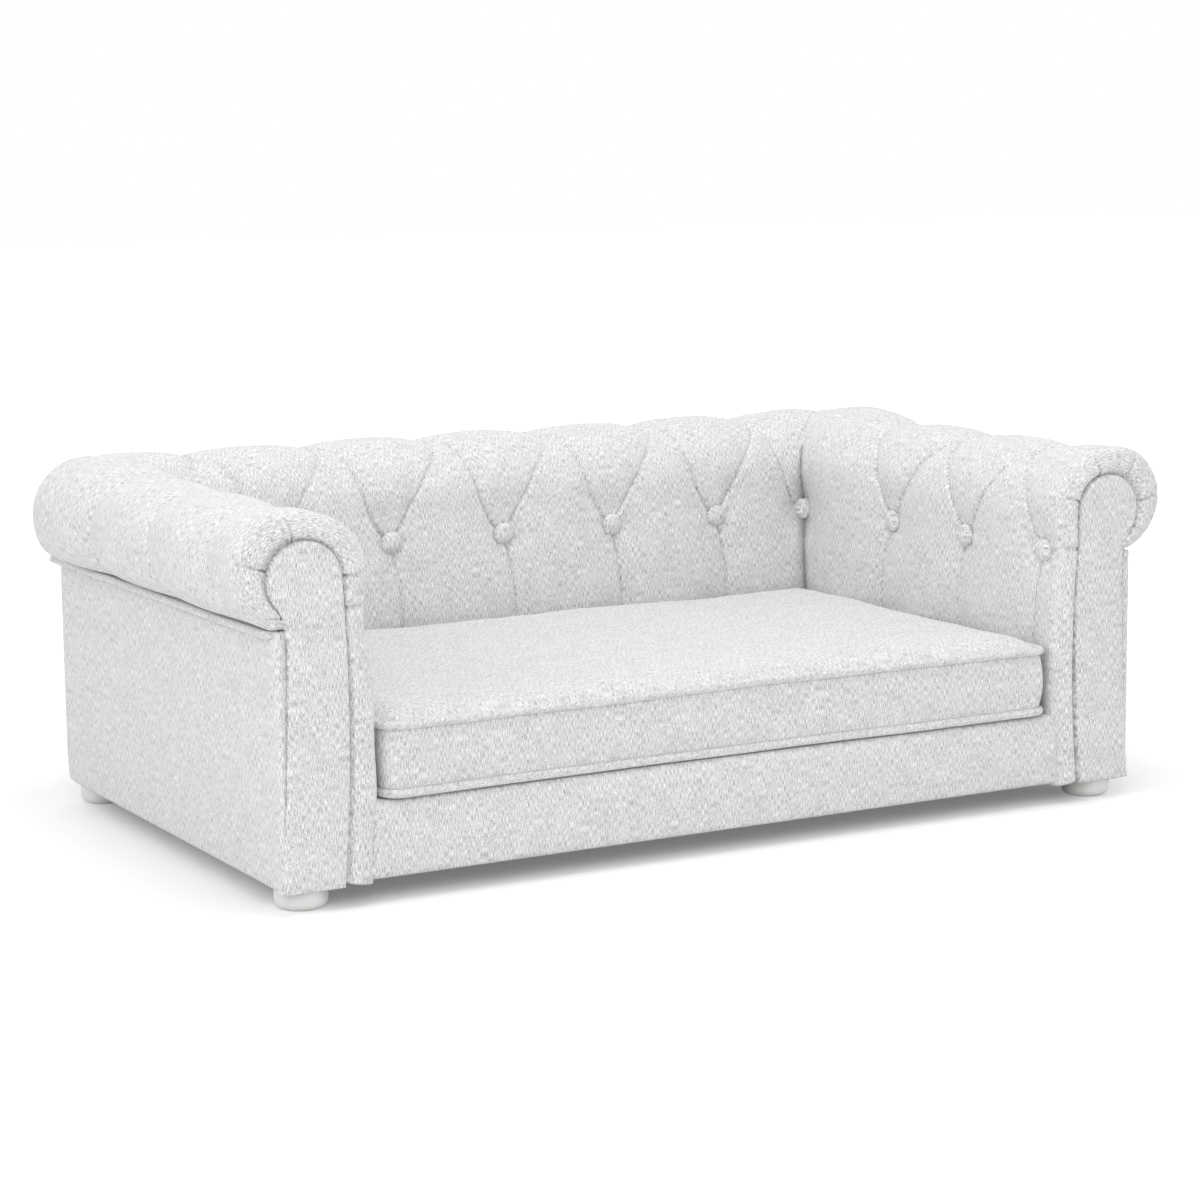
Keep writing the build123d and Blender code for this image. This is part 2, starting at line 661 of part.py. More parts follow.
with BuildPart() as right_arm_pad:
    # inner wall, one flute between each two buttons
    with BuildSketch(Plane.XY.offset(seat_z)):
        with BuildLine():
            rounded = roll_front_rounding * (1 - diagonal_share)
            start = (inner_x, pad_front_y + roll_front_rounding)
            valley_x = inner_x + flute_depth
            corner_valley_y = board_x - mitre_offset
            Line((board_x, pad_front_y), (inner_x + roll_front_rounding, pad_front_y))
            ThreePointArc((inner_x + roll_front_rounding, pad_front_y),
                          (inner_x + rounded, pad_front_y + rounded), start)
            TangentArc(start, (valley_x, arm_button_ys[0]), tangent=(0, 1))
            for low_y, high_y in zip(arm_button_ys, arm_button_ys[1:]):
                ThreePointArc((valley_x, low_y), (inner_x, (low_y + high_y) / 2), (valley_x, high_y))
            last_y = arm_button_ys[-1]
            ThreePointArc((valley_x, last_y), (inner_x, (last_y + corner_button_y) / 2),
                          (valley_x, corner_button_y))
            Line((valley_x, corner_button_y), (valley_x, corner_valley_y))
            Line((valley_x, corner_valley_y), (board_x, corner_valley_y))
            Line((board_x, corner_valley_y), (board_x, pad_front_y))
        make_face()
    extrude(amount=flute_top_z - seat_z)
    lean_cut(at_depth(0).move(Location((inner_x, 0, 0))), overall_depth)
    # rolled top in two sweeps, with the crest between them
    with BuildSketch(arm_shoulder_plane):
        arm_section(shoulder_radius, 0)
    revolve(axis=Axis((shoulder_x, 0, shoulder_z), (0, -1, 0)), revolution_arc=shoulder_sweep)
    with BuildSketch(arm_roll_plane.offset(-roll_crest_flat)):
        arm_section(roll_radius, -core_drop)
    extrude(amount=roll_crest_flat)
    with BuildSketch(arm_roll_plane):
        arm_section(roll_radius, 0)
    revolve(axis=Axis((roll_x, 0, roll_z), (0, 1, 0)), revolution_arc=roll_sweep)
    # the straight roll stops where the rounded corner starts
    block((shoulder_x, corner_y, 0), (overall_length, overall_depth, overall_height), mode=Mode.SUBTRACT)
    corner_roll()
    # padding carried down the front beside the border
    with BuildSketch(at_depth(pad_front_y)):
        with BuildLine():
            Polyline((inner_x + return_flare + facing_clearance, base_z),
                     (inner_x + facing_clearance, seat_z), (inner_x + facing_clearance, shoulder_z),
                     (shoulder_x, shoulder_z), (shoulder_x, base_z), close=True)
        make_face()
    extrude(amount=pad_front_y - frame_front_y)
    frame_cuts()
    # room for the scroll board, the facing, the foam and the roll core
    with BuildSketch(at_depth(front_y - cut_overrun)):
        facing_face(facing_clearance)
    extrude(amount=front_y - cut_overrun - frame_front_y, mode=Mode.SUBTRACT)
    block((slab_x, slab_front_y, seat_z), (board_x, slab_rear_y, slab_top_z), mode=Mode.SUBTRACT)
    add(right_roll_core.part, mode=Mode.SUBTRACT)
    add(back_roll_core.part, mode=Mode.SUBTRACT)
    arm_tie_cuts()
    with Locations(*[(x - dimple_radius, y, z) for x, y, z in arm_ties]):
        Sphere(dimple_radius, mode=Mode.SUBTRACT)
    corner_dimple()
    # mitre with the back pad
    with BuildSketch(Plane.XY.offset(-cut_overrun)):
        with BuildLine():
            Polyline((mitre_offset, 0), (mitre_offset + mitre_far, mitre_far),
                     (-mitre_far, mitre_far), (-mitre_far, 0), close=True)
        make_face()
    extrude(amount=2 * overall_height, mode=Mode.SUBTRACT)
save(right_arm_pad, "right_arm_pad")
save(mirrored(right_arm_pad), "left_arm_pad")

# Tufted back pad, made as its right half and mirrored

wall_direction = Vector(0, wall_recline, back_wall_height)
wall_height_share = (flute_top_z - seat_z) / back_wall_height
flute_start_y = back_inner_y + wall_recline * (flute_start_z - seat_z) / back_wall_height

with BuildPart() as back_wall:
    with BuildSketch(Plane.XY.offset(seat_z)):
        with BuildLine():
            valley_y = back_inner_y + flute_depth
            half_xs = [x for x in back_button_xs if x >= 0]
            for low_x, high_x in zip(half_xs, half_xs[1:]):
                ThreePointArc((low_x, valley_y), ((low_x + high_x) / 2, back_inner_y), (high_x, valley_y))
            last_x = half_xs[-1]
            ThreePointArc((last_x, valley_y), ((last_x + corner_button_x) / 2, back_inner_y),
                          (corner_button_x, valley_y))
            Polyline((corner_button_x, valley_y), (board_x, valley_y), (board_x, board_y), (0, board_y),
                     (0, valley_y))
        make_face()
    extrude(amount=wall_direction.length * wall_height_share, dir=wall_direction)
    lean_cut(Plane.YZ.move(Location((0, flute_start_y, 0))), overall_length)

with BuildPart() as back_pad:
    with BuildSketch(back_shoulder_plane):
        back_section(shoulder_radius, 0)
    revolve(axis=Axis((0, shoulder_y, shoulder_z), (1, 0, 0)), revolution_arc=shoulder_sweep)
    with BuildSketch(back_roll_plane.offset(roll_crest_flat)):
        back_section(roll_radius, -core_drop)
    extrude(amount=-roll_crest_flat)
    with BuildSketch(back_roll_plane):
        back_section(roll_radius, 0)
    revolve(axis=Axis((0, roll_y, roll_z), (-1, 0, 0)), revolution_arc=roll_sweep)
    block((corner_x, shoulder_y, 0), (overall_length, overall_depth, overall_height), mode=Mode.SUBTRACT)
    corner_roll()
    block((-overall_length, -overall_depth, 0), (0, overall_depth, overall_height), mode=Mode.SUBTRACT)
    with BuildSketch(Plane.XY.offset(-cut_overrun)):
        with BuildLine():
            Polyline((mitre_offset, 0), (mitre_offset + mitre_far, mitre_far),
                     (2 * mitre_far, mitre_far), (2 * mitre_far, 0), close=True)
        make_face()
    extrude(amount=2 * overall_height, mode=Mode.SUBTRACT)
    add(back_wall.part)
    frame_cuts()
    block((0, slab_y, seat_z), (back_slab_x, board_y, slab_top_z), mode=Mode.SUBTRACT)
    add(back_roll_core.part, mode=Mode.SUBTRACT)
    add(right_roll_core.part, mode=Mode.SUBTRACT)
    back_tie_cuts()
    with Locations(*[(x, y - dimple_radius, z) for x, y, z in back_ties]):
        Sphere(dimple_radius, mode=Mode.SUBTRACT)
    corner_dimple()
    add(right_arm_pad.part, mode=Mode.SUBTRACT)
    add(right_arm_foam.part, mode=Mode.SUBTRACT)
    mirror(about=Plane.YZ)
save(back_pad, "back_pad")

# Covered buttons on their ties

button_lift = dimple_radius - math.sqrt(dimple_radius ** 2 - button_radius ** 2) + button_seat_gap


def tuft_button(reach):
    """A domed button facing +Z, with the tie that holds it below."""
    with BuildPart() as button:
        with BuildSketch(Plane.XZ):
            with BuildLine():
                Line((0, 0), (button_radius, 0))
                TangentArc((0, button_dome), (button_radius, 0), tangent=(1, 0))
                Line((0, button_dome), (0, 0))
            make_face()
        revolve(axis=Axis.Z)
        Box(tie_width, tie_width, reach, align=(Align.CENTER, Align.CENTER, Align.MAX))
    return button.part


arm_button = tuft_button(tie_reach + button_lift)
back_button = tuft_button(back_tie_reach + button_lift)
corner_button = tuft_button(button_lift - button_seat_gap)

with BuildPart() as right_arm_buttons:
    with Locations(*[Location((x - button_lift, y, z), (0, -90, 0)) for x, y, z in arm_ties]):
        add(arm_button)
save(right_arm_buttons, "right_arm_buttons")
save(mirrored(right_arm_buttons), "left_arm_buttons")

corner_lift = button_lift * diagonal_share

with BuildPart() as back_buttons:
    with Locations(*[Location((x, y - button_lift, z), (90, 0, 0)) for x, y, z in back_ties]):
        add(back_button)
    for side in (-1, 1):
        corner_place = (side * (corner_button_x - corner_lift), corner_button_y - corner_lift,
                        back_button_height)
        with Locations(Plane(corner_place, z_dir=(-side, -1, 0))):
            add(corner_button)
save(back_buttons, "back_buttons")

# Loose seat cushion: crowned cover with drawn-in sides, foam and pipings

cushion_z = seat_z + cushion_rest_gap
low_welt_z = cushion_z + cushion_bottom_rise
high_welt_z = low_welt_z + cushion_box_height
cover_inset = 2 * piping_radius + piping_clearance
cushion_rear_y = front_y + seat_depth
zip_flat_share = (zip_length / 2 + slider_length) / (seat_length / 2 - cover_inset)


def cushion_outline(inset):
    """Rounded plan of the cushion with gently drawn-in sides."""
    side = seat_length / 2 - inset
    near = front_y + inset
    rear = cushion_rear_y - inset
    flat = side * zip_flat_share
    with BuildLine() as outline:
        ThreePointArc((-side, near), (0, near + side_draw), (side, near))
        ThreePointArc((side, near), (side - side_draw, (near + rear) / 2), (side, rear))
        TangentArc((flat, rear - side_draw), (side, rear), tangent=(1, 0))
        Line((flat, rear - side_draw), (-flat, rear - side_draw))
        TangentArc((-flat, rear - side_draw), (-side, rear), tangent=(-1, 0))
        ThreePointArc((-side, rear), (side_draw - side, (near + rear) / 2), (-side, near))
        fillet(outline.vertices().group_by(lambda v: abs(v.X))[-1], radius=cushion_corner_radius)
    return outline.edges()


def cushion_body(shrink):
    """Closed cushion shape, smaller all round by the shrink."""
    inset = cover_inset + shrink
    low = cushion_z + shrink
    crown = cushion_crown
    with BuildPart() as body:
        with BuildSketch(Plane.XY.offset(low_welt_z)):
            make_face(cushion_outline(inset))
        extrude(amount=cushion_box_height)
        with BuildSketch(Plane.XY.offset(low)):
            make_face(cushion_outline(inset + cushion_bottom_inset))
        with BuildSketch(Plane.XY.offset(low_welt_z)):
            make_face(cushion_outline(inset))
        loft(ruled=True)
        with BuildSketch(Plane.XY.offset(high_welt_z)):
            make_face(cushion_outline(inset))
        for inset_share, height_share in crown_step_shares:
            level = high_welt_z + crown * height_share - shrink
            with BuildSketch(Plane.XY.offset(level)):
                make_face(cushion_outline(inset + seat_depth * inset_share))
        loft()
    return body.part


with BuildPart() as seat_cushion:
    add(cushion_body(0))
    add(cushion_body(cover_thickness), mode=Mode.SUBTRACT)
    zip_z = (low_welt_z + high_welt_z) / 2
    zip_face_y = cushion_rear_y - cover_inset - side_draw
    block((-zip_length / 2, zip_face_y - 2 * cover_thickness, zip_z - zip_width / 2),
          (zip_length / 2, zip_face_y + cover_thickness, zip_z + zip_width / 2), mode=Mode.SUBTRACT)
save(seat_cushion, "seat_cushion")

with BuildPart() as cushion_foam:
    add(cushion_body(cover_thickness + foam_clearance))
save(cushion_foam, "cushion_foam")

for level, piping_name in ((high_welt_z, "cushion_top_piping"), (low_welt_z, "cushion_bottom_piping")):
    with BuildPart() as piping:
        with BuildLine(Plane.XY.offset(level)) as piping_path:
            add(Wire(cushion_outline(piping_radius)).moved(Location((0, 0, level))))
        path_wire = piping_path.wire()
        with BuildSketch(Plane(path_wire @ 0, z_dir=path_wire % 0)):
            Circle(piping_radius)
        sweep(path=path_wire)
    save(piping, piping_name)

zip_half = zip_length / 2 - zip_clearance
tape_face_y = zip_face_y - cover_thickness + zip_tape_thickness + zip_clearance

with BuildPart() as zip_tape:
    tape_half = zip_width / 2 - zip_clearance
    block((-zip_half, tape_face_y - zip_tape_thickness, zip_z - tape_half),
          (zip_half, tape_face_y, zip_z + tape_half))
    block((-zip_half, tape_face_y, zip_z - coil_width / 2),
          (zip_half, tape_face_y + coil_height, zip_z + coil_width / 2))
save(zip_tape, "zip_tape")

with BuildPart() as zip_slider:
    slider_x = zip_half - slider_end_gap
    slider_low_y = tape_face_y + zip_clearance
    block((slider_x - slider_length, slider_low_y, zip_z - slider_width / 2),
          (slider_x, slider_low_y + slider_height, zip_z + slider_width / 2))
    fillet(zip_slider.faces().sort_by(Axis.Y)[-1].edges(), radius=slider_rounding)
    channel = coil_width / 2 + zip_clearance
    block((slider_x - cut_overrun, tape_face_y, zip_z - channel),
          (slider_x + cut_overrun, tape_face_y + coil_height + zip_clearance, zip_z + channel),
          mode=Mode.SUBTRACT)
save(zip_slider, "zip_slider")
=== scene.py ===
import json
import math
from contextlib import contextmanager

import bmesh
import bpy
import numpy as np
from mathutils import Matrix, Vector, noise


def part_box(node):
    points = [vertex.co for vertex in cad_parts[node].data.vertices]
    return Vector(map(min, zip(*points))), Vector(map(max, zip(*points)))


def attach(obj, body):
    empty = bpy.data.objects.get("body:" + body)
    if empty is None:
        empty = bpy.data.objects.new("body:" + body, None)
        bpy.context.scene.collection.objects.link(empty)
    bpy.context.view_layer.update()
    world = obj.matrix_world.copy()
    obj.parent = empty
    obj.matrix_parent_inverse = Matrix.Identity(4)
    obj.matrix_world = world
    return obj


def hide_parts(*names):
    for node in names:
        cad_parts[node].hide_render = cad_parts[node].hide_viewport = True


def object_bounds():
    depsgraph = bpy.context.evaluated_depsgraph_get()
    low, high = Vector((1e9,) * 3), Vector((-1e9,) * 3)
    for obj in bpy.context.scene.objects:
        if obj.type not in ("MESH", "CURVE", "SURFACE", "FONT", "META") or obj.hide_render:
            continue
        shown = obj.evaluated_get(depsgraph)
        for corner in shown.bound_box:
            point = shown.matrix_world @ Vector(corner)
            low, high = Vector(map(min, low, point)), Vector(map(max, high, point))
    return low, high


bl_info = {
    "name": "Tufted Pet Sofa",
    "version": (1, 0, 0),
    "blender": (4, 5, 0),
    "location": "View3D > Sidebar > Pet Sofa",
    "description": "Dresses a small rolled-arm pet sofa in tufted linen-look cloth",
    "category": "Add Mesh",
}

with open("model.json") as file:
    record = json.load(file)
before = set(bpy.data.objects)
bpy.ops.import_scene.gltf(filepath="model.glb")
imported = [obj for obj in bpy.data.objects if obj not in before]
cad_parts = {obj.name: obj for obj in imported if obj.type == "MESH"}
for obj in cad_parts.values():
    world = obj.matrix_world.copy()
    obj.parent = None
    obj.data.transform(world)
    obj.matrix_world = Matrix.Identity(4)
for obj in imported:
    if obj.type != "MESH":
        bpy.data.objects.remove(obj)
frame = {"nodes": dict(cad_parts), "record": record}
cad_low, cad_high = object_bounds()
nodes = frame["nodes"]

# Places read from the frame, in metres
below_rail = 0.001
half_length = cad_high.x
front_y = cad_low.y
top_z = cad_high.z
base_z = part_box("front_rail")[0].z - below_rail
outer_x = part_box("right_outside_panel")[1].x
outer_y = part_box("rear_outside_panel")[1].y
seat_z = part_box("deck_cloth")[1].z
neck_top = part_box("right_outside_panel")[1].z
arm_buttons_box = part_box("right_arm_buttons")
back_buttons_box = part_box("back_buttons")

# Sizes that several pieces share
facing_lead = 0.0035
cloth_front_y = front_y + facing_lead
cloth_thickness = 0.0015
corner_rounding = 0.009
front_turn = 0.004
tuck_length = 0.010
head_inset = 0.0145
head_drop = 0.0592
head_radius = 0.0345
waist_draw = 0.0112
quarter_turn = math.pi / 2
eighth_turn = math.pi / 4
slant = 0.7071


class SofaSizes(bpy.types.PropertyGroup):
    """Sizes of the cloth forms."""

    seat_half: bpy.props.FloatProperty(
        name="Seat Half Length", description="From the middle to an arm's inner wall", default=0.3604,
        unit="LENGTH")
    back_inner: bpy.props.FloatProperty(
        name="Back Inner Wall", description="Depth of the back's wall at the shoulder", default=0.1609,
        unit="LENGTH")
    recline: bpy.props.FloatProperty(
        name="Recline", description="How far the back's wall leans over its height", default=0.015,
        unit="LENGTH")
    shoulder: bpy.props.FloatProperty(
        name="Shoulder Radius", description="Radius of the inner half of the roll", default=0.067,
        unit="LENGTH")
    roll: bpy.props.FloatProperty(
        name="Roll Radius", description="Radius of the outer half of the roll", default=0.051, unit="LENGTH")
    corner: bpy.props.FloatProperty(
        name="Corner Radius", description="Plan radius of the roll at the rear corners", default=0.122,
        unit="LENGTH")
    pitch: bpy.props.FloatProperty(
        name="Tuft Pitch", description="Distance between two buttons", default=0.130, unit="LENGTH")
    button_sink: bpy.props.FloatProperty(
        name="Button Sink", description="Depth of a button's seat below the padding", default=0.0165,
        unit="LENGTH")
    pleat_sink: bpy.props.FloatProperty(
        name="Pleat Sink", description="Depth of a pleat on the wall", default=0.0095, unit="LENGTH")
    roll_sink: bpy.props.FloatProperty(
        name="Roll Sink", description="Depth of a pleat on top of the roll", default=0.0070, unit="LENGTH")
    front_rounding: bpy.props.FloatProperty(
        name="Front Rounding", description="Radius where the roll turns to its front", default=0.009,
        unit="LENGTH")
    flare: bpy.props.FloatProperty(
        name="Flare", description="How far the arm's front drifts outwards below the seat", default=0.005,
        unit="LENGTH")
    grid: bpy.props.FloatProperty(
        name="Grid", description="Size of a face of the tufted cloth", default=0.004, unit="LENGTH")


class SofaColours(bpy.types.PropertyGroup):
    """Colours of the finishes."""

    cloth: bpy.props.FloatVectorProperty(
        name="Cloth", description="Lighter yarn of the cover", subtype="COLOR", default=(0.88, 0.88, 0.88),
        min=0, max=1)
    yarn: bpy.props.FloatVectorProperty(
        name="Dark Yarn", description="Darker yarn of the cover", subtype="COLOR", default=(0.38, 0.38, 0.39),
        min=0, max=1)
    foot: bpy.props.FloatVectorProperty(
        name="Feet", description="Moulded feet", subtype="COLOR", default=(0.74, 0.74, 0.73), min=0, max=1)
    wood: bpy.props.FloatVectorProperty(
        name="Timber", description="Frame timber", subtype="COLOR", default=(0.62, 0.44, 0.26), min=0, max=1)
    plywood: bpy.props.FloatVectorProperty(
        name="Plywood", description="Boards", subtype="COLOR", default=(0.58, 0.40, 0.23), min=0, max=1)
    dust: bpy.props.FloatVectorProperty(
        name="Dust Cloth", description="Cloth under the frame", subtype="COLOR", default=(0.02, 0.02, 0.022),
        min=0, max=1)


def sizes():
    """Sizes as the panel shows them."""
    return bpy.context.scene.sofa_sizes


def colours():
    """Colours as the panel shows them."""
    return bpy.context.scene.sofa_colours


# Finishes


def opaque(colour, share=1.0):
    """A share of a colour, with full alpha."""
    return tuple(c * share for c in colour) + (1.0,)


class Nodes:
    """Short calls that add nodes to a material or to the world."""

    def __init__(self, owner):
        owner.use_nodes = True
        self.owner = owner
        self.tree = owner.node_tree

    def add(self, kind, **values):
        """A new node with some of its settings."""
        node = self.tree.nodes.new(kind)
        for key, value in values.items():
            setattr(node, key, value)
        return node

    def feed(self, value, socket):
        """Sets a socket to a constant, or links another node's output to it."""
        if isinstance(value, (int, float, tuple)):
            socket.default_value = value
        else:
            self.tree.links.new(value, socket)

    def surface(self, values):
        """Feeds inputs of the shader by their names."""
        shader = self.tree.nodes["Principled BSDF"]
        for name, value in values.items():
            self.feed(value, shader.inputs[name])

    def place(self):
        """Object coordinates."""
        return self.add("ShaderNodeTexCoord").outputs["Object"]

    def scaled(self, source, scale):
        """Coordinates stretched by three scales."""
        mapping = self.add("ShaderNodeMapping")
        self.feed(scale, mapping.inputs["Scale"])
        self.feed(source, mapping.inputs["Vector"])
        return mapping.outputs["Vector"]

    def noise(self, vector, scale, detail=2.0, rough=0.5):
        """Noise from 0 to 1."""
        node = self.add("ShaderNodeTexNoise")
        values = {"Scale": scale, "Detail": detail, "Roughness": rough, "Vector": vector}
        for name, value in values.items():
            self.feed(value, node.inputs[name])
        return node.outputs["Fac"]

    def maths(self, operation, first, second):
        """One sum of two values."""
        node = self.add("ShaderNodeMath", operation=operation)
        self.feed(first, node.inputs[0])
        self.feed(second, node.inputs[1])
        return node.outputs[0]

    def ramp(self, value, low, high):
        """A value stretched so that low becomes 0 and high becomes 1."""
        node = self.add("ShaderNodeMapRange")
        self.feed(low, node.inputs["From Min"])
        self.feed(high, node.inputs["From Max"])
        self.feed(value, node.inputs["Value"])
        return node.outputs["Result"]

    def blend(self, factor, first, second):
        """A colour between two, by a factor."""
        node = self.add("ShaderNodeMix", data_type="RGBA")
        self.feed(factor, node.inputs["Factor"])
        self.feed(first, node.inputs[6])
        self.feed(second, node.inputs[7])
        return node.outputs[2]

    def two_tone(self, tone, colour, light, dark, rough):
        """Base colour between a light and a dark share of one colour, and its roughness."""
        mixed = self.blend(tone, opaque(colour, light), opaque(colour, dark))
        self.surface({"Base Color": mixed, "Roughness": rough})

    def relief(self, height, strength, distance):
        """Fine relief on the shader."""
        bump = self.add("ShaderNodeBump")
        self.feed(strength, bump.inputs["Strength"])
        self.feed(distance, bump.inputs["Distance"])
        self.feed(height, bump.inputs["Height"])
        self.surface({"Normal": bump.outputs["Normal"]})

    def seen_rays(self):
        """1 for the rays that the camera sees directly or in a gloss."""
        rays = self.add("ShaderNodeLightPath")
        return self.maths("MAXIMUM", rays.outputs["Is Camera Ray"], rays.outputs["Is Glossy Ray"])


def new_finish(name):
    """An empty material by name."""
    return Nodes(bpy.data.materials.new(name))


def linen(name, tint=1.0):
    """Heathered linen-look cloth that follows the weave map of its piece."""
    finish = new_finish(name)
    weave = finish.add("ShaderNodeUVMap", uv_map="weave").outputs["UV"]
    # slubs run along the warp, shorter ones along the weft
    warp = finish.noise(finish.scaled(weave, (1600.0, 170.0, 1.0)), 1.0)
    weft = finish.noise(finish.scaled(weave, (330.0, 1400.0, 1.0)), 1.0)
    speckle = finish.noise(finish.scaled(weave, (900.0, 700.0, 1.0)), 1.0, 1.0)
    cloud = finish.noise(finish.scaled(weave, (60.0, 34.0, 1.0)), 1.0, 4.0, 0.65)
    threads = finish.maths("MULTIPLY", warp, 0.66)
    for yarns, weight in ((weft, 0.20), (speckle, 0.14), (cloud, 0.10)):
        threads = finish.maths("ADD", threads, finish.maths("MULTIPLY", yarns, weight))
    heather = finish.ramp(threads, 0.45, 0.66)
    colour = finish.blend(heather, opaque(colours().cloth, tint), opaque(colours().yarn, tint))
    finish.surface({"Base Color": colour, "Roughness": 0.92, "Specular IOR Level": 0.25, "Sheen Weight": 0.25,
                    "Sheen Roughness": 0.6})
    # single yarns stand up over each other
    finish.relief(finish.maths("ADD", warp, finish.maths("MULTIPLY", weft, 0.8)), 0.55, 0.0006)


def plastic(name, colour):
    """Satin moulded plastic with a fine grain."""
    finish = new_finish(name)
    place = finish.place()
    tone = finish.ramp(finish.noise(place, 60.0, 3.0), 0.3, 0.7)
    finish.two_tone(tone, colour, 1.0, 0.92, 0.45)
    finish.relief(finish.noise(place, 2500.0), 0.15, 0.0002)


def timber(name, colour, grain, plies=False):
    """Sawn softwood, or the edge and face of plywood, with its grain along one axis."""
    finish = new_finish(name)
    place = finish.place()
    rings = finish.noise(finish.scaled(place, grain), 1.0, 4.0, 0.6)
    tone = finish.ramp(rings, 0.35, 0.68)
    if plies:
        layers = finish.add("ShaderNodeTexWave", wave_type="BANDS", bands_direction="Z")
        finish.feed(90.0, layers.inputs["Scale"])
        finish.feed(1.0, layers.inputs["Distortion"])
        finish.feed(place, layers.inputs["Vector"])
        tone = finish.maths("ADD", finish.maths("MULTIPLY", tone, 0.6),
                            finish.maths("MULTIPLY", layers.outputs["Fac"], 0.35))
    finish.two_tone(tone, colour, 1.0, 0.62, 0.7)
    finish.relief(rings, 0.3, 0.0004)


def open_cell(name):
    """Upholstery foam with its small cells."""
    finish = new_finish(name)
    cells = finish.add("ShaderNodeTexVoronoi")
    finish.feed(700.0, cells.inputs["Scale"])
    finish.feed(finish.place(), cells.inputs["Vector"])
    tone = finish.ramp(cells.outputs["Distance"], 0.1, 0.9)
    colour = finish.blend(tone, (0.86, 0.83, 0.72, 1.0), (0.62, 0.58, 0.46, 1.0))
    finish.surface({"Base Color": colour, "Roughness": 0.95})
    finish.relief(cells.outputs["Distance"], 0.5, 0.0005)


def plain_cloth(name, colour, scale):
    """Thin backing cloth whose threads cross in object space."""
    finish = new_finish(name)
    fibres = finish.noise(finish.scaled(finish.place(), scale), 1.0, 3.0, 0.6)
    tone = finish.ramp(fibres, 0.35, 0.65)
    finish.two_tone(tone, colour, 1.25, 0.7, 0.9)
    finish.relief(fibres, 0.4, 0.0003)


def plated_metal(name, colour, rough):
    """Plated steel with fine scratches."""
    finish = new_finish(name)
    scratches = finish.noise(finish.scaled(finish.place(), (900.0, 120.0, 300.0)), 1.0)
    finish.two_tone(scratches, colour, 1.0, 0.8, rough)
    finish.surface({"Metallic": 1.0})


# Meshes made of a grid of cloth


def mesh_from(bm, name):
    """A new mesh made of a finished build."""
    mesh = bpy.data.meshes.new(name)
    bm.to_mesh(mesh)
    bm.free()
    return mesh


@contextmanager
def editing(mesh):
    """Opens a mesh for work on its faces, and writes the work back."""
    bm = bmesh.new()
    bm.from_mesh(mesh)
    yield bm
    bm.to_mesh(mesh)
    bm.free()
    mesh.update()


def weave_from_places(bm, pattern):
    """Gives each face corner the place on the cloth that the pattern reads from its vertex."""
    layer = bm.loops.layers.uv.new("weave")
    for face in bm.faces:
        for loop in face.loops:
            loop[layer].uv = pattern(loop.vert.co)


def lengths_along(line):
    """Length run at each point of a flat line."""
    return np.concatenate([[0], np.cumsum(np.hypot(*np.diff(line, axis=0).T))])


def spread(values, count):
    """One value for each row, repeated over a number of columns."""
    return np.repeat(values[:, None], count, axis=1)


def quarter_angles(count):
    """Angles that divide a quarter turn, without its start."""
    return [quarter_turn * i / count for i in range(1, count + 1)]


def cloth_grid(name, places, weave):
    """A sheet of quads. places and weave hold the grid's points, one row of them after another."""
    along, across = places.shape[0] - 1, places.shape[1] - 1
    bm = bmesh.new()
    bmesh.ops.create_grid(bm, x_segments=across, y_segments=along, size=0.5)
    mesh = mesh_from(bm, name)
    spots = np.empty(len(mesh.vertices) * 3)
    mesh.vertices.foreach_get("co", spots)
    spots = spots.reshape(-1, 3) + 0.5
    column = np.rint(spots[:, 0] * across).astype(int)
    row = np.rint(spots[:, 1] * along).astype(int)
    mesh.vertices.foreach_set("co", places[row, column].ravel())
    corners = np.empty(len(mesh.loops), int)
    mesh.loops.foreach_get("vertex_index", corners)
    layer = mesh.uv_layers.new(name="weave")
    layer.data.foreach_set("uv", weave[row, column][corners].ravel())
    mesh.update()
    return mesh


def pattern_places(bm, layer, side, shift):
    """Place of each vertex on the unrolled cloth, read from its weave map."""
    found = np.zeros((len(bm.verts), 2))
    for vert in bm.verts:
        if vert.link_loops:
            found[vert.index] = vert.link_loops[0][layer].uv
    found[:, 0] = (found[:, 0] - shift) * side
    return found


def gap_to_buttons(buttons, across, cloth):
    """Distance of each point on the unrolled cloth to the nearest button."""
    gap = np.full(across.shape, 1.0)
    for x, t in buttons:
        gap = np.minimum(gap, np.hypot(across - x, cloth - t))
    return gap


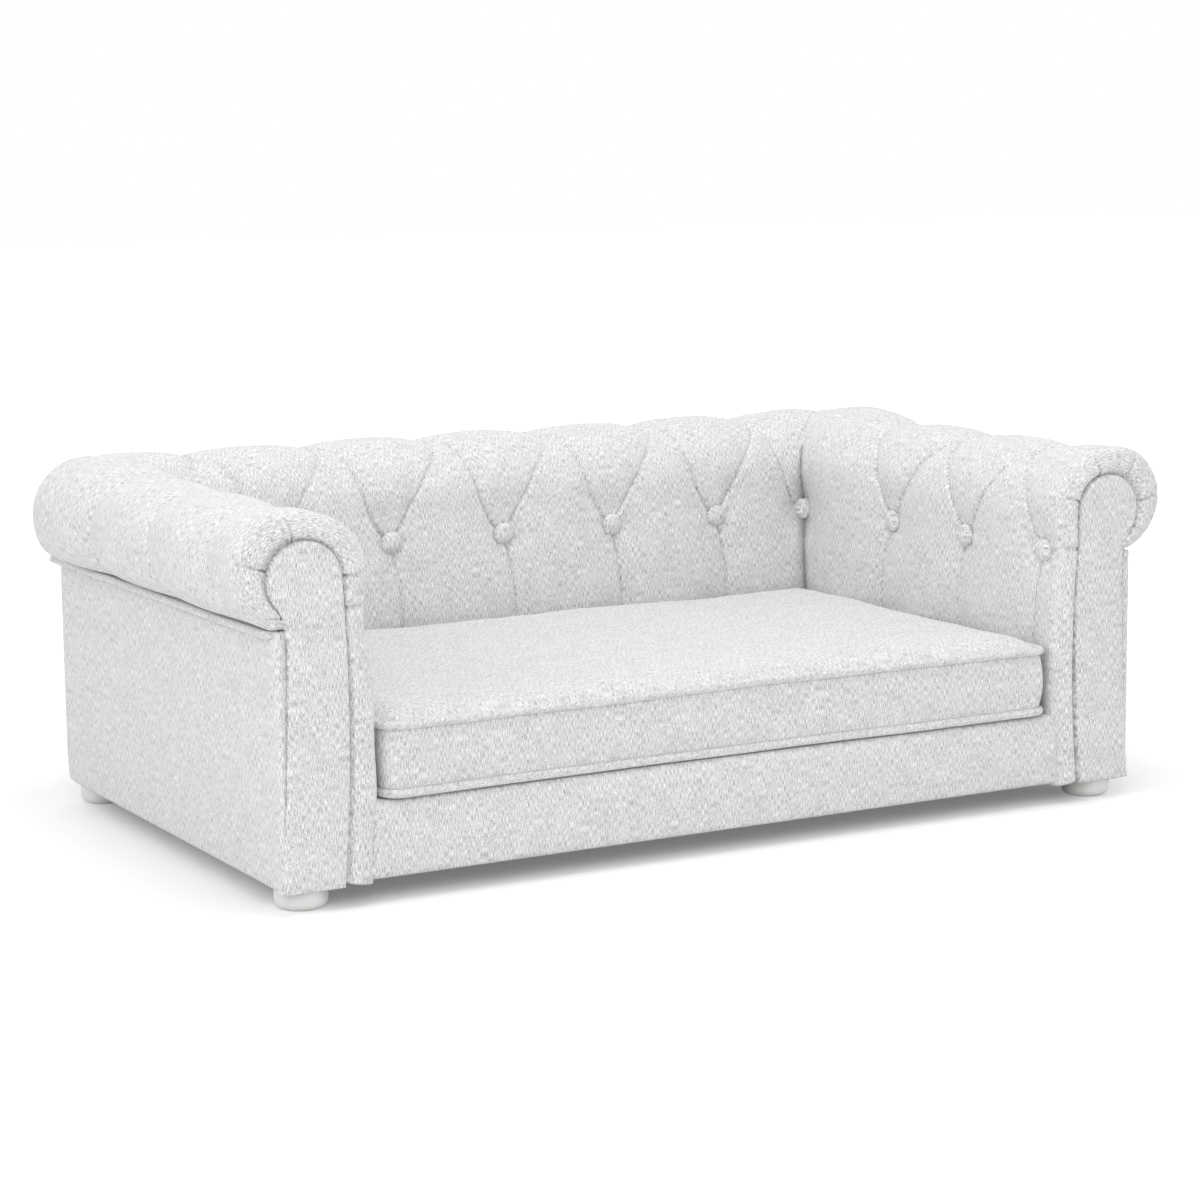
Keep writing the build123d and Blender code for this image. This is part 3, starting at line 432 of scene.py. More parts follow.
def crease(mesh, pleats, buttons, side, shift, seed):
    """Splits the mesh finely along the pleats and round the buttons, and presses the folds in."""
    fine_round_pleat, fine_round_button = 0.0049, 0.0155
    cap_edge, edge_fade = 0.009, 0.004
    fold_depth, fold_width = 0.0030, 0.0015
    high_lip, low_lip, lip_gap, lip_width = 0.0011, 0.0002, 0.0036, 0.0026
    with editing(mesh) as bm:
        layer = bm.loops.layers.uv["weave"]
        across, cloth = pattern_places(bm, layer, side, shift).T
        near = pleat_distance(pleats, across, cloth)[0]
        fine = (near < fine_round_pleat) | (gap_to_buttons(buttons, across, cloth) < fine_round_button)
        edges = [e for e in bm.edges if fine[e.verts[0].index] and fine[e.verts[1].index]]
        bmesh.ops.subdivide_edges(bm, edges=edges, cuts=3, use_grid_fill=True)
        bm.verts.index_update()
        bm.normal_update()
        across, cloth = pattern_places(bm, layer, side, shift).T
        near, depth, turn = pleat_distance(pleats, across, cloth)
        strength = np.clip(depth / sizes().pleat_sink, 0, 1.3)
        open_cloth = np.clip((gap_to_buttons(buttons, across, cloth) - cap_edge) / edge_fade, 0, 1)
        move = -fold_depth * strength * np.exp(-(near / fold_width) ** 2)
        lip = np.where(turn > 0, high_lip, low_lip)
        move += lip * strength * np.exp(-((near - lip_gap) / lip_width) ** 2)
        move = move * open_cloth + gathers(across, cloth, buttons, seed)
        for vert in bm.verts:
            vert.co += vert.normal * move[vert.index]


def joined(name, meshes):
    """One mesh that holds several, in their order."""
    bm = bmesh.new()
    for part in meshes:
        bm.from_mesh(part)
        bpy.data.meshes.remove(part)
    return mesh_from(bm, name)


def place_piece(name, mesh, material):
    """A smooth-shaded object in the scene."""
    piece = bpy.data.objects.new(name, mesh)
    bpy.context.scene.collection.objects.link(piece)
    mesh.materials.append(material)
    mesh.polygons.foreach_set("use_smooth", [True] * len(mesh.polygons))
    mesh.update()
    return piece


def merge_doubles(mesh, flip=False):
    """Merges the doubles of a mesh, and turns its faces over where they look inwards."""
    distance = 0.00002
    with editing(mesh) as bm:
        bmesh.ops.remove_doubles(bm, verts=bm.verts, dist=distance)
        bmesh.ops.dissolve_degenerate(bm, edges=bm.edges, dist=distance)
        if flip:
            bmesh.ops.reverse_faces(bm, faces=bm.faces)


def thicken(piece):
    """Gives a sheet the thickness of its cloth."""
    shell = piece.modifiers.new("Cloth thickness", "SOLIDIFY")
    shell.thickness = cloth_thickness
    shell.offset = -1.0


# The section of an arm or of the back: wall, shoulder, crest, roll and tuck


class Section:
    """Places along the cloth, from the foot of the wall to the tuck under the roll."""

    def __init__(self):
        size = sizes()
        self.width = half_length - size.seat_half
        self.sharp = self.width - size.corner
        self.crest = self.width - size.shoulder - size.roll
        self.shoulder_z = top_z - size.shoulder
        self.roll_z = top_z - size.roll
        self.roll_out = size.shoulder + self.crest
        self.roll_end = quarter_turn + math.acos((outer_x - size.seat_half - self.roll_out) / size.roll)
        self.wall_top = self.shoulder_z - seat_z
        self.crest_start = self.wall_top + size.shoulder * quarter_turn
        self.roll_start = self.crest_start + self.crest
        self.roll_stop = self.roll_start + size.roll * self.roll_end
        self.length = self.roll_stop + tuck_length

    def rows(self):
        """Lengths along the cloth at which the grid has its rows."""
        return np.linspace(0, self.length, int(round(self.length / sizes().grid)) + 1)

    def fade(self, cloth):
        """Share of the padding that is left towards the tuck under the roll."""
        fade_length = 0.035
        return np.clip((self.length - cloth - tuck_length) / fade_length, 0, 1)

    def at(self, cloth):
        """Distance outwards, height and outward direction for lengths along the cloth."""
        size = sizes()
        shoulder_turn = np.clip((cloth - self.wall_top) / size.shoulder, 0, quarter_turn)
        roll_turn = np.clip((cloth - self.roll_start) / size.roll, 0, self.roll_end)
        on_wall = cloth <= self.wall_top
        on_roll = cloth > self.roll_start
        out = np.where(on_wall, 0.0, size.shoulder * (1 - np.cos(shoulder_turn)))
        out = out + np.clip(cloth - self.crest_start, 0, self.crest) + size.roll * np.sin(roll_turn)
        out = out - np.clip(cloth - self.roll_stop, 0, None)
        up = np.where(on_wall, seat_z + cloth, self.shoulder_z + size.shoulder * np.sin(shoulder_turn))
        up = np.where(on_roll, self.roll_z + size.roll * np.cos(roll_turn), up)
        side = np.where(on_wall, -1.0, np.where(on_roll, np.sin(roll_turn), -np.cos(shoulder_turn)))
        rise = np.where(on_wall, 0.0, np.where(on_roll, np.cos(roll_turn), np.sin(shoulder_turn)))
        return out, up, side, rise


def lean(up):
    """How far the back's wall stands forward of its shoulder at a height."""
    size = sizes()
    shoulder_z = top_z - size.shoulder
    return size.recline * np.clip((shoulder_z - up) / (shoulder_z - seat_z), 0, 1.1)


# Tufting pattern: pleats are lines with a depth, on the unrolled cloth


def pleat_distance(pleats, across, cloth):
    """Distance of each point to the nearest pleat, that pleat's depth there and the side it lies on."""
    near = np.full(across.shape, 1.0)
    depth = np.zeros(across.shape)
    side = np.zeros(across.shape)
    for pleat in pleats:
        for (x0, t0, d0), (x1, t1, d1) in zip(pleat, pleat[1:]):
            dx, dt = x1 - x0, t1 - t0
            share = np.clip(((across - x0) * dx + (cloth - t0) * dt) / (dx * dx + dt * dt), 0, 1)
            gap_x = across - x0 - share * dx
            gap_t = cloth - t0 - share * dt
            gap = np.hypot(gap_x, gap_t)
            closer = gap < near
            near = np.where(closer, gap, near)
            depth = np.where(closer, d0 + share * (d1 - d0), depth)
            side = np.where(closer, np.sign(gap_x * dt - gap_t * dx), side)
    return near, depth, side


# Shares of the way across and of the rise, for the two lines of the folds above a button
even_fold = ((0.20, 0.11), (0.41, 0.30), (0.62, 0.50), (0.80, 0.68), (0.94, 0.85), (1.0, 1.0))
left_fold = ((0.20, 0.08), (0.38, 0.24), (0.49, 0.46), (0.57, 0.66), (0.68, 0.85), (0.92, 0.97), (1.0, 1.04))
right_fold = ((0.08, 0.06), (0.32, 0.23), (0.62, 0.47), (0.84, 0.63), (0.96, 0.75), (1.0, 0.88), (1.0, 1.0))

# Fold below a button: share of its wander, drop from the button and share of the wall's sink
low_fold = ((0.25, 0.014, 1.4), (0.65, 0.032, 1.15), (0.95, 0.055, 1.0))


def wall_pleats(section, button_spots, button_cloth, valley_spots, wanders, folds=(even_fold, even_fold)):
    """Pleats of one wall: below each button, up to the valleys beside it, and over the roll."""
    size = sizes()
    lines = []
    deep, wall, top = size.button_sink, size.pleat_sink, size.roll_sink
    rise = section.crest_start - button_cloth
    for spot, wander in zip(button_spots, wanders):
        below = [(spot + wander * share, button_cloth - drop, wall * sink) for share, drop, sink in low_fold]
        lines.append([(spot, button_cloth, deep), *below, (spot + wander, 0.0, wall * 0.8)])
        for valley in valley_spots:
            reach = valley - spot
            if abs(reach) < size.pitch * 0.62:
                fold = [(spot, button_cloth, deep)]
                for share, up in folds[0] if reach < 0 else folds[1]:
                    sink = max(wall * (1.3 - 0.55 * up), top)
                    fold.append((spot + reach * share, button_cloth + rise * up, sink))
                lines.append(fold)
    return lines


def roll_pleats(section, valleys):
    """Pleats over the roll. Each valley is its spot at the top and at the welt."""
    top = sizes().roll_sink
    over_crest, down_roll, short_of_welt = 0.01, 0.06, 0.005
    lines = []
    for start, stop in valleys:
        lines.append([(start, section.crest_start, top), (start, section.roll_start + over_crest, top),
                      (start + (stop - start) * 0.35, section.roll_start + down_roll, top * 0.7),
                      (stop, section.roll_stop - short_of_welt, top * 0.35)])
    return lines


def settle(height, anchor, hold, step_across, step_along, pressure, rounds):
    """Soft padding drawn down along the pleats: a stretched skin with filling under it."""
    narrowest = 0.0008
    width = np.maximum(step_across, narrowest)
    east = step_along / width
    north = width / step_along
    area = width * step_along
    stiff = hold * area
    total = 2 * east + 2 * north + stiff
    for _ in range(rounds):
        left = np.roll(height, 1, axis=1)
        left[:, 0] = height[:, 1]
        right = np.roll(height, -1, axis=1)
        right[:, -1] = height[:, -2]
        below = np.roll(height, 1, axis=0)
        below[0] = height[1]
        above = np.roll(height, -1, axis=0)
        above[-1] = height[-2]
        height = (east * (left + right) + north * (below + above) + stiff * anchor + pressure * area) / total
    return height


def gathers(across, cloth, buttons, seed):
    """Small folds that run out from each button."""
    fold_height, ring_radius, ring_width = 0.0009, 0.019, 0.010
    total = np.zeros(across.shape)
    for count, (x, t) in enumerate(buttons):
        gap = np.hypot(across - x, cloth - t)
        angle = np.arctan2(cloth - t, across - x)
        turn = seed + count * 1.7
        ripple = np.sin(7 * angle + turn) * 0.6 + np.sin(4 * angle + 2.1 * turn) * 0.5
        total += fold_height * ripple * np.exp(-((gap - ring_radius) / ring_width) ** 2)
    return total


def softness(places, seed, amount, size):
    """Slow unevenness of hand-filled padding."""
    flat = places.reshape(-1, 3) / size + seed
    values = np.array([noise.noise(Vector(p)) for p in flat])
    return amount * values.reshape(places.shape[:2])


def widths(places):
    """Width of each face of a grid across the cloth."""
    step = np.linalg.norm(np.diff(places, axis=1), axis=-1)
    return np.concatenate([step, step[:, -1:]], axis=1)


def padding(across, cloth, pleats, buttons, seam, seed, places):
    """Height of the padding above its frame line, for every grid point."""
    size = sizes()
    cap_reach, seam_reach, pleat_reach, least_depth = 0.0095, 0.001, 0.02, 0.001
    grip, grip_width, filling, rounds, roundness = 6e6, 0.0032, 0.0075, 1400, 0.74
    bump_height, bump_size = 0.0011, 0.045
    near, depth, _ = pleat_distance(pleats, across, cloth)
    seam_gap, seam_depth = seam
    closer = seam_gap < seam_reach
    near = np.where(closer, seam_gap, near)
    depth = np.where(closer, seam_depth, depth)
    pressed = gap_to_buttons(buttons, across, cloth) < cap_reach
    depth = np.where(pressed, size.button_sink, depth)
    hold = grip * np.exp(-(near / grip_width) ** 2) + np.where(pressed, grip, 0.0)
    pressure = 8 * filling / size.pitch ** 2
    start = -0.5 * np.exp(-near / pleat_reach) * depth
    height = settle(start, -depth, hold, widths(places), size.grid, pressure, rounds)
    share = np.clip(1 + height / np.maximum(depth, least_depth), 0.0, None)
    rounded = -depth * (1 - np.power(share, roundness))
    height = np.where(share < 1, rounded, height)
    return height + softness(places, seed, bump_height, bump_size) * np.clip(near / pleat_reach, 0, 1)


# Scroll outline of an arm's front


def arc_points(start, tangent, stop, count):
    """Points of the arc that leaves start along tangent and ends at stop."""
    chord = stop - start
    turn = math.atan2(tangent.x * chord.y - tangent.y * chord.x, tangent.dot(chord))
    points = []
    for i in range(count + 1):
        part = 2 * turn * i / count
        share = math.sin(part / 2) / math.sin(turn) if abs(turn) > 1e-6 else i / count
        reach = chord.length * share
        heading = math.atan2(tangent.y, tangent.x) + part / 2
        points.append(start + Vector((math.cos(heading), math.sin(heading))) * reach)
    return points


def scroll_outline(inset=0.0):
    """Closed outline of the right arm's facing in the XZ plane, head first."""
    head = Vector((half_length - sizes().roll - head_inset, top_z - head_drop))
    radius = head_radius - inset
    low, high = math.radians(-35), math.radians(176)
    neck_length, foot_inset = 0.020, 0.037
    head_count, inner_count, foot_count, outer_count, neck_count = 40, 36, 8, 28, 6
    low_side = head + Vector((math.cos(low), math.sin(low))) * radius
    high_side = head + Vector((math.cos(high), math.sin(high))) * radius
    neck = low_side + Vector((math.sin(low), -math.cos(low))) * neck_length
    neck.x -= inset * 0.2
    foot_in = Vector((sizes().seat_half + foot_inset + inset, base_z + inset))
    foot_out = Vector((outer_x - inset, base_z + inset))
    points = [head + Vector((math.cos(a), math.sin(a))) * radius for a in np.linspace(low, high, head_count)]
    points += arc_points(high_side, Vector((-math.sin(high), math.cos(high))), foot_in, inner_count)[1:]
    points += [foot_in.lerp(foot_out, i / foot_count) for i in range(1, foot_count + 1)]
    waist = (outer_x - waist_draw) + waist_draw * 0.3 - inset
    for i in range(1, outer_count + 1):
        share = i / outer_count
        z = foot_out.y + (neck.y - foot_out.y) * share
        bow = share * (1 - share) * 4
        straight = foot_out.x + (neck.x - foot_out.x) * share
        middle = (foot_out.x + neck.x) / 2
        points.append(Vector((straight + (waist - middle) * bow, z)))
    points += [neck.lerp(low_side, i / neck_count) for i in range(1, neck_count)]
    smooth = list(points)
    turn_at = head_count + inner_count + foot_count + outer_count - 1
    for _ in range(10):
        before = list(smooth)
        for i in range(turn_at - 4, turn_at + 5):
            j = i % len(smooth)
            smooth[j] = (before[j - 1] + before[j] * 2 + before[(j + 1) % len(before)]) / 4
    return smooth


def nearest_on_outline(points, spots):
    """For each spot, the nearest point of a closed outline."""
    line = np.array([tuple(p) for p in points])
    after = np.roll(line, -1, axis=0)
    run = after - line
    best = np.full(len(spots), 1e9)
    found = np.zeros((len(spots), 2))
    for start, step in zip(line, run):
        share = np.clip(((spots - start) @ step) / (step @ step), 0, 1)
        place = start + share[:, None] * step
        gap = np.linalg.norm(spots - place, axis=1)
        closer = gap < best
        best = np.where(closer, gap, best)
        found[closer] = place[closer]
    return found


# Tufted pads


def button_rows():
    """Spots of the buttons, read from the frame: arm depths, back places and their heights."""
    size = sizes()
    arm_z = (arm_buttons_box[0].z + arm_buttons_box[1].z) / 2
    back_z = (back_buttons_box[0].z + back_buttons_box[1].z) / 2
    middle_y = (arm_buttons_box[0].y + arm_buttons_box[1].y) / 2
    arm_ys = [middle_y - size.pitch, middle_y, middle_y + size.pitch]
    back_xs = [size.pitch * i for i in (-2, -1, 0, 1, 2)]
    return arm_ys, arm_z, back_xs, back_z


def squared(section, cloth, radius, angle):
    """Radius in the turn, drawn out below the roll to the square corner of the body."""
    half = outer_x - sizes().seat_half - section.width + sizes().corner
    reach = half / np.maximum(np.cos(angle), np.sin(angle))
    reach = np.minimum(reach, (half - corner_rounding) * math.sqrt(2) + corner_rounding)
    start = section.roll_start + sizes().roll * quarter_turn
    share = np.clip((cloth - start) / (section.roll_stop - start), 0, 1)
    share = share * share * (3 - 2 * share)
    return radius * (1 + share * (reach / half - 1))


class CornerTurn:
    """The turn of a rear corner, for lengths along the cloth and for plan angles."""

    def __init__(self, section, cloth, angles):
        size = sizes()
        turn_reach = 0.03
        self.out, self.up, self.side, self.rise = section.at(cloth)
        flat = np.minimum(self.out, section.sharp)
        self.radius = np.maximum(self.out - section.sharp, 0.0)
        self.end_x = size.seat_half + flat
        self.end_y = size.back_inner + flat - lean(self.up)
        wide = squared(section, cloth[:, None], self.radius[:, None], angles[None, :])
        self.x = self.end_x[:, None] + wide * np.cos(angles)
        self.y = self.end_y[:, None] + wide * np.sin(angles)
        share = np.clip((self.out[:, None] - section.sharp) / turn_reach, 0, 1)
        self.along_x = self.side[:, None] * ((1 - share) + share * np.cos(angles))
        self.along_y = self.side[:, None] * ((1 - share) + share * np.sin(angles))


def seam_sink(section, cloth, button_cloth):
    """Depth of the mitre pleat at a rear corner along its height."""
    size = sizes()
    lines = [(0.0, 0.006), (button_cloth - 0.04, 0.007), (button_cloth - 0.006, size.button_sink),
             (button_cloth + 0.006, size.button_sink), (button_cloth + 0.035, 0.008),
             (section.wall_top + 0.02, 0.005), (section.crest_start, 0.0028),
             (section.roll_start + 0.05, 0.0012), (section.length, 0.0008)]
    return np.interp(cloth, [p[0] for p in lines], [p[1] for p in lines])


def corner_columns():
    """Number of grid faces across half of a rear corner's turn."""
    face_width = 0.0036
    return int(round(sizes().corner * eighth_turn / face_width))


def along_turn(across, shown):
    """Lengths across the cloth, measured on the surface itself in the turn at its last columns."""
    first = across.shape[1] - corner_columns() - 1
    steps = np.linalg.norm(np.diff(shown[:, first:], axis=1), axis=-1)
    lengths = across.copy()
    lengths[:, first + 1:] = across[:, first:first + 1] + np.cumsum(steps, axis=1)
    return lengths


def close_corner(height, seam_depth, radius, columns):
    """Where the turn has no radius yet, its columns follow the mitre pleat."""
    open_radius = 0.015
    opened = np.clip(radius / open_radius, 0, 1)[:, None]
    height[:, columns] = height[:, columns] * opened - seam_depth[:, columns] * (1 - opened)


def run_of_arm(section, seed):
    """Places and cloth lengths of the right arm, from its front rounding to the corner's mitre."""
    size = sizes()
    arm_ys, arm_z, _, back_z = button_rows()
    start_y = cloth_front_y + size.front_rounding
    cloth_line = section.rows()
    straight = int(round((size.back_inner - start_y) / size.grid)) + 1
    angles = np.linspace(0, eighth_turn, corner_columns() + 1)[1:]
    turn = CornerTurn(section, cloth_line, angles)
    radius, end_y = turn.radius[:, None], turn.end_y[:, None]
    base = np.linspace(start_y, size.back_inner, straight)
    pull_start = 0.09
    pull = np.clip((base - pull_start) / (size.back_inner - pull_start), 0, 1)
    y = base[None, :] + (end_y - size.back_inner) * pull[None, :]
    across = np.hstack([y, end_y + radius * angles])
    to_seam = np.hstack([end_y - y + radius * eighth_turn, radius * (eighth_turn - angles)])
    columns = across.shape[1]
    places = np.stack([np.hstack([spread(size.seat_half + turn.out, straight), turn.x]),
                       np.hstack([y, turn.y]), spread(turn.up, columns)], axis=-1)
    normals = np.stack([np.hstack([spread(turn.side, straight), turn.along_x]),
                        np.hstack([np.zeros(y.shape), turn.along_y]), spread(turn.rise, columns)], axis=-1)
    cloth = spread(cloth_line, columns)
    arm_cloth = arm_z - seat_z
    roll_shifts, wanders = (-0.055, -0.026, 0.012), (0.009, 0.008, 0.016)
    valleys = [(spot + size.pitch / 2, spot + size.pitch / 2 + shift)
               for spot, shift in zip(arm_ys, roll_shifts)]
    pleats = wall_pleats(section, arm_ys, arm_cloth, [v[0] for v in valleys], wanders)
    pleats += roll_pleats(section, valleys)
    buttons = [(spot, arm_cloth) for spot in arm_ys]
    seam_depth = seam_sink(section, cloth, back_z - seat_z)
    height = padding(across, cloth, pleats, buttons, (to_seam, seam_depth), seed, places)
    close_corner(height, seam_depth, turn.radius, slice(straight, None))
    height[:, -1] = -seam_depth[:, -1]
    # the wall's front edge is filled out to the seat's full length
    filling, front_reach, top_reach = 0.0034, 0.05, 0.06
    near_front = np.clip(1 - (y - start_y) / front_reach, 0, 1)
    near_foot = np.clip((section.wall_top - cloth[:, :straight]) / top_reach, 0, 1)
    height[:, :straight] += filling * near_front * near_foot
    height = height * section.fade(cloth)
    return places, normals, height, across, cloth, pleats, buttons


def run_of_back(section, seed):
    """Places and cloth lengths of the back, from mitre to mitre."""
    size = sizes()
    _, _, back_xs, back_z = button_rows()
    cloth_line = section.rows()
    half = int(round(size.seat_half / size.grid)) + 1
    angles = np.linspace(quarter_turn, eighth_turn, corner_columns() + 1)[1:]
    turn = CornerTurn(section, cloth_line, angles)
    radius, end_x = turn.radius[:, None], turn.end_x[:, None]
    base = np.linspace(0, size.seat_half, half)
    pull_start = 0.29
    pull = np.clip((base - pull_start) / (size.seat_half - pull_start), 0, 1)
    x = base[None, :] + (end_x - size.seat_half) * pull[None, :]

    def both(wall, corner, sign):
        """Values of the half run, and before them the same mirrored."""
        values = np.hstack([np.broadcast_to(wall, x.shape), corner])
        return np.hstack([sign * values[:, :0:-1], values])

    across = both(x, end_x + radius * (quarter_turn - angles), -1)
    to_seam = both(end_x - x + radius * eighth_turn, radius * (angles - eighth_turn), 1)
    columns = across.shape[1]
    places = np.stack([both(x, turn.x, -1),
                       both((size.back_inner + turn.out - lean(turn.up))[:, None], turn.y, 1),
                       spread(turn.up, columns)], axis=-1)
    normals = np.stack([both(0.0, turn.along_x, -1), both(turn.side[:, None], turn.along_y, 1),
                        spread(turn.rise, columns)], axis=-1)
    cloth = spread(cloth_line, columns)
    back_cloth = back_z - seat_z
    spots = [size.pitch * (i + 0.5) for i in range(-3, 3)]
    wanders = (0.008, 0.007, 0.009, 0.006, 0.008)
    pleats = wall_pleats(section, back_xs, back_cloth, spots, wanders, (left_fold, right_fold))
    pleats += roll_pleats(section, [(spot, spot) for spot in spots])
    rise_cloth = section.crest_start - back_cloth
    past_wall = 0.004
    for sign in (-1, 1):
        valley = sign * size.pitch * 2.5
        spot = sign * (size.seat_half + past_wall)
        fold = [(spot, back_cloth, size.button_sink)]
        for share, up, sink in ((0.36, 0.20, 1.0), (0.62, 0.45, 0.9), (0.78, 0.72, 0.8)):
            fold.append((spot + (valley - spot) * share, back_cloth + rise_cloth * up,
                         size.pleat_sink * sink))
        pleats.append(fold + [(valley, section.crest_start, size.roll_sink)])
    buttons = [(spot, back_cloth) for spot in back_xs]
    seam_depth = seam_sink(section, cloth, back_cloth)
    height = padding(across, cloth, pleats, buttons, (to_seam, seam_depth), seed, places)
    for ends in (slice(0, len(angles)), slice(-len(angles), None)):
        close_corner(height, seam_depth, turn.radius, ends)
    height[:, 0] = -seam_depth[:, 0]
    height[:, -1] = -seam_depth[:, -1]
    height = height * section.fade(cloth)
    return places, normals, height, across, cloth, pleats, buttons


# Small pleats round the front of each arm: length along the cloth and strength
band_pleats = {
    1: [(0.169, 0.9), (0.2247, 0.6), (0.285, 0.8), (0.339, 1.0), (0.3946, 0.9), (0.440, 0.7)],
    -1: [(0.179, 0.9), (0.209, 0.8), (0.318, 0.8), (0.326, 0.5), (0.386, 1.0), (0.456, 0.8), (0.100, 0.3)],
}


def band_level(spot):
    """Length along the cloth of a small pleat, whose place is given from the seat's usual height."""
    usual_seat = 0.085
    return spot + (usual_seat - seat_z)


def front_band(edge, normals, cloth_line, side):
    """Cloth turned over the front of an arm, from the roll's edge in under the facing."""
    rounding = sizes().front_rounding
    count_round, count_band = 7, 16
    pleat_width, ridge_gap, ridge_width = 0.0045, 0.009, 0.007
    swell, dive_start, dive_share, dive_depth, slope = 0.0026, 0.56, 0.16, 0.0032, 0.0040
    band_width, under_facing, pleat_depth, ridge_height = 0.017, 0.005, 0.0006, 0.0008
    spots = edge[:, [0, 2]]
    outward = np.stack([normals[:, 0], normals[:, 2]], axis=-1)
    inner = nearest_on_outline(scroll_outline(under_facing), spots)
    centre = spots - rounding * outward
    pleat = np.zeros(len(spots))
    ridge = np.zeros(len(spots))
    for spot, strength in band_pleats[side]:
        gap = cloth_line - band_level(spot)
        pleat += strength * np.exp(-(gap / pleat_width) ** 2)
        ridge += strength * np.exp(-((gap - ridge_gap) / ridge_width) ** 2)
    columns = []
    cloth_across = []
    for i in range(count_round + count_band + 1):
        if i <= count_round:
            angle = quarter_turn * i / count_round
            flat = centre + rounding * outward * math.cos(angle)
            y = edge[:, 1] - rounding * math.sin(angle)
            travel = -rounding * angle
            reach = 0.35 * math.sin(angle)
        else:
            share = (i - count_round) / count_band
            flat = centre + (inner - centre) * share
            dive = min(max((share - dive_start) / dive_share, 0.0), 1.0)
            y = np.full(len(spots), cloth_front_y) - swell * math.sin(math.pi * min(1.0, share * 1.25))
            y += dive_depth * dive * dive * (3 - 2 * dive) + slope * share ** 3
            travel = -rounding * quarter_turn - band_width * share
            reach = 0.35 + 0.65 * min(1.0, share * 3)
        y = y + reach * (pleat_depth * pleat - ridge_height * ridge)
        columns.append(np.stack([flat[:, 0], y, flat[:, 1]], axis=-1))
        cloth_across.append(np.full(len(spots), travel))
    return np.stack(columns, axis=1), np.stack(cloth_across, axis=1)


def below_seat(top_edge, grid, flare, reach):
    """The arm's front edge carried on down to the base, drifting outwards beside the border."""
    count = int(round((seat_z - base_z) / grid))
    drop = np.linspace(seat_z - base_z, 0, count + 1)[:-1]
    share = drop / (seat_z - base_z)
    edge = np.stack([top_edge[0] + flare * share, np.full(count, top_edge[1]), seat_z - drop], axis=-1)
    normals = np.repeat([[-1.0, 0.0, 0.0]], count, axis=0)
    inside = edge[:, None, :] + np.array([0.0, 1.0, 0.0]) * np.linspace(0, reach, 5)[None, 1:, None]
    return edge, normals, inside, -drop


def arm_pad(side, seed, material):
    """One tufted arm in one piece of cloth, with its front band."""
    size = sizes()
    weave_shift = 2.0
    # length in from the edge and share of the wall's sink
    edge_fold = ((0.004, 0.2), (0.016, 1.0), (0.031, 1.2))
    places, normals, height, across, cloth, pleats, buttons = run_of_arm(Section(), seed)
    shown = places + normals * height[..., None]
    across = along_turn(across, shown)
    edge, low_normals, inside, low_cloth = below_seat(shown[0, 0], size.grid, size.flare, 4 * size.grid)
    whole_edge = np.concatenate([edge, shown[:, 0]])
    whole_cloth = np.concatenate([low_cloth, cloth[:, 0]])
    whole_normals = np.concatenate([low_normals, normals[:, 0]])
    band, band_across = front_band(whole_edge, whole_normals, whole_cloth, side)
    low = len(edge)
    start = across[0, 0]
    meshes = []
    for rows, body, body_across in ((slice(0, low + 1), np.concatenate([inside, shown[:1, 1:5]]),
                                     np.repeat(across[:1, 1:5], low + 1, axis=0)),
                                    (slice(low, None), shown[:, 1:], across[:, 1:])):
        whole = np.concatenate([band[rows, ::-1], body], axis=1)
        whole[..., 0] *= side
        weave_u = np.concatenate([(start + band_across)[rows, ::-1], body_across], axis=1)
        weave_v = np.repeat(whole_cloth[rows, None], whole.shape[1], axis=1)
        weave = np.stack([weave_u * side + weave_shift, weave_v], axis=-1)
        meshes.append(cloth_grid("arm rows", whole, weave))
    name = "right_arm_tufting" if side > 0 else "left_arm_tufting"
    mesh = joined(name, meshes)
    merge_doubles(mesh, flip=side > 0)
    for spot, strength in band_pleats[side]:
        pleats.append([(start - gap, band_level(spot), share * strength * size.pleat_sink)
                       for gap, share in edge_fold])
    crease(mesh, pleats, buttons, side, weave_shift, seed)
    piece = place_piece(name, mesh, material)
    thicken(piece)
    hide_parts("right_arm_pad" if side > 0 else "left_arm_pad")
    return piece


def back_pad(seed, material):
    """The tufted back in one piece of cloth."""
    places, normals, height, across, cloth, pleats, buttons = run_of_back(Section(), seed)
    shown = places + normals * height[..., None]
    across = along_turn(across, shown)
    across = -along_turn(-across[:, ::-1], shown[:, ::-1])[:, ::-1]
    weave = np.stack([across, cloth], axis=-1)
    mesh = cloth_grid("back_tufting", shown, weave)
    merge_doubles(mesh)
    crease(mesh, pleats, buttons, 1, 0.0, seed)
    piece = place_piece("back_tufting", mesh, material)
    thicken(piece)
    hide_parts("back_pad")
    return piece


def dress(piece, body="sofa"):
    """Puts a piece on its body."""
    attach(piece, body)
    return piece


def finish_of(name):
    """A finish by its name."""
    return bpy.data.materials[name]


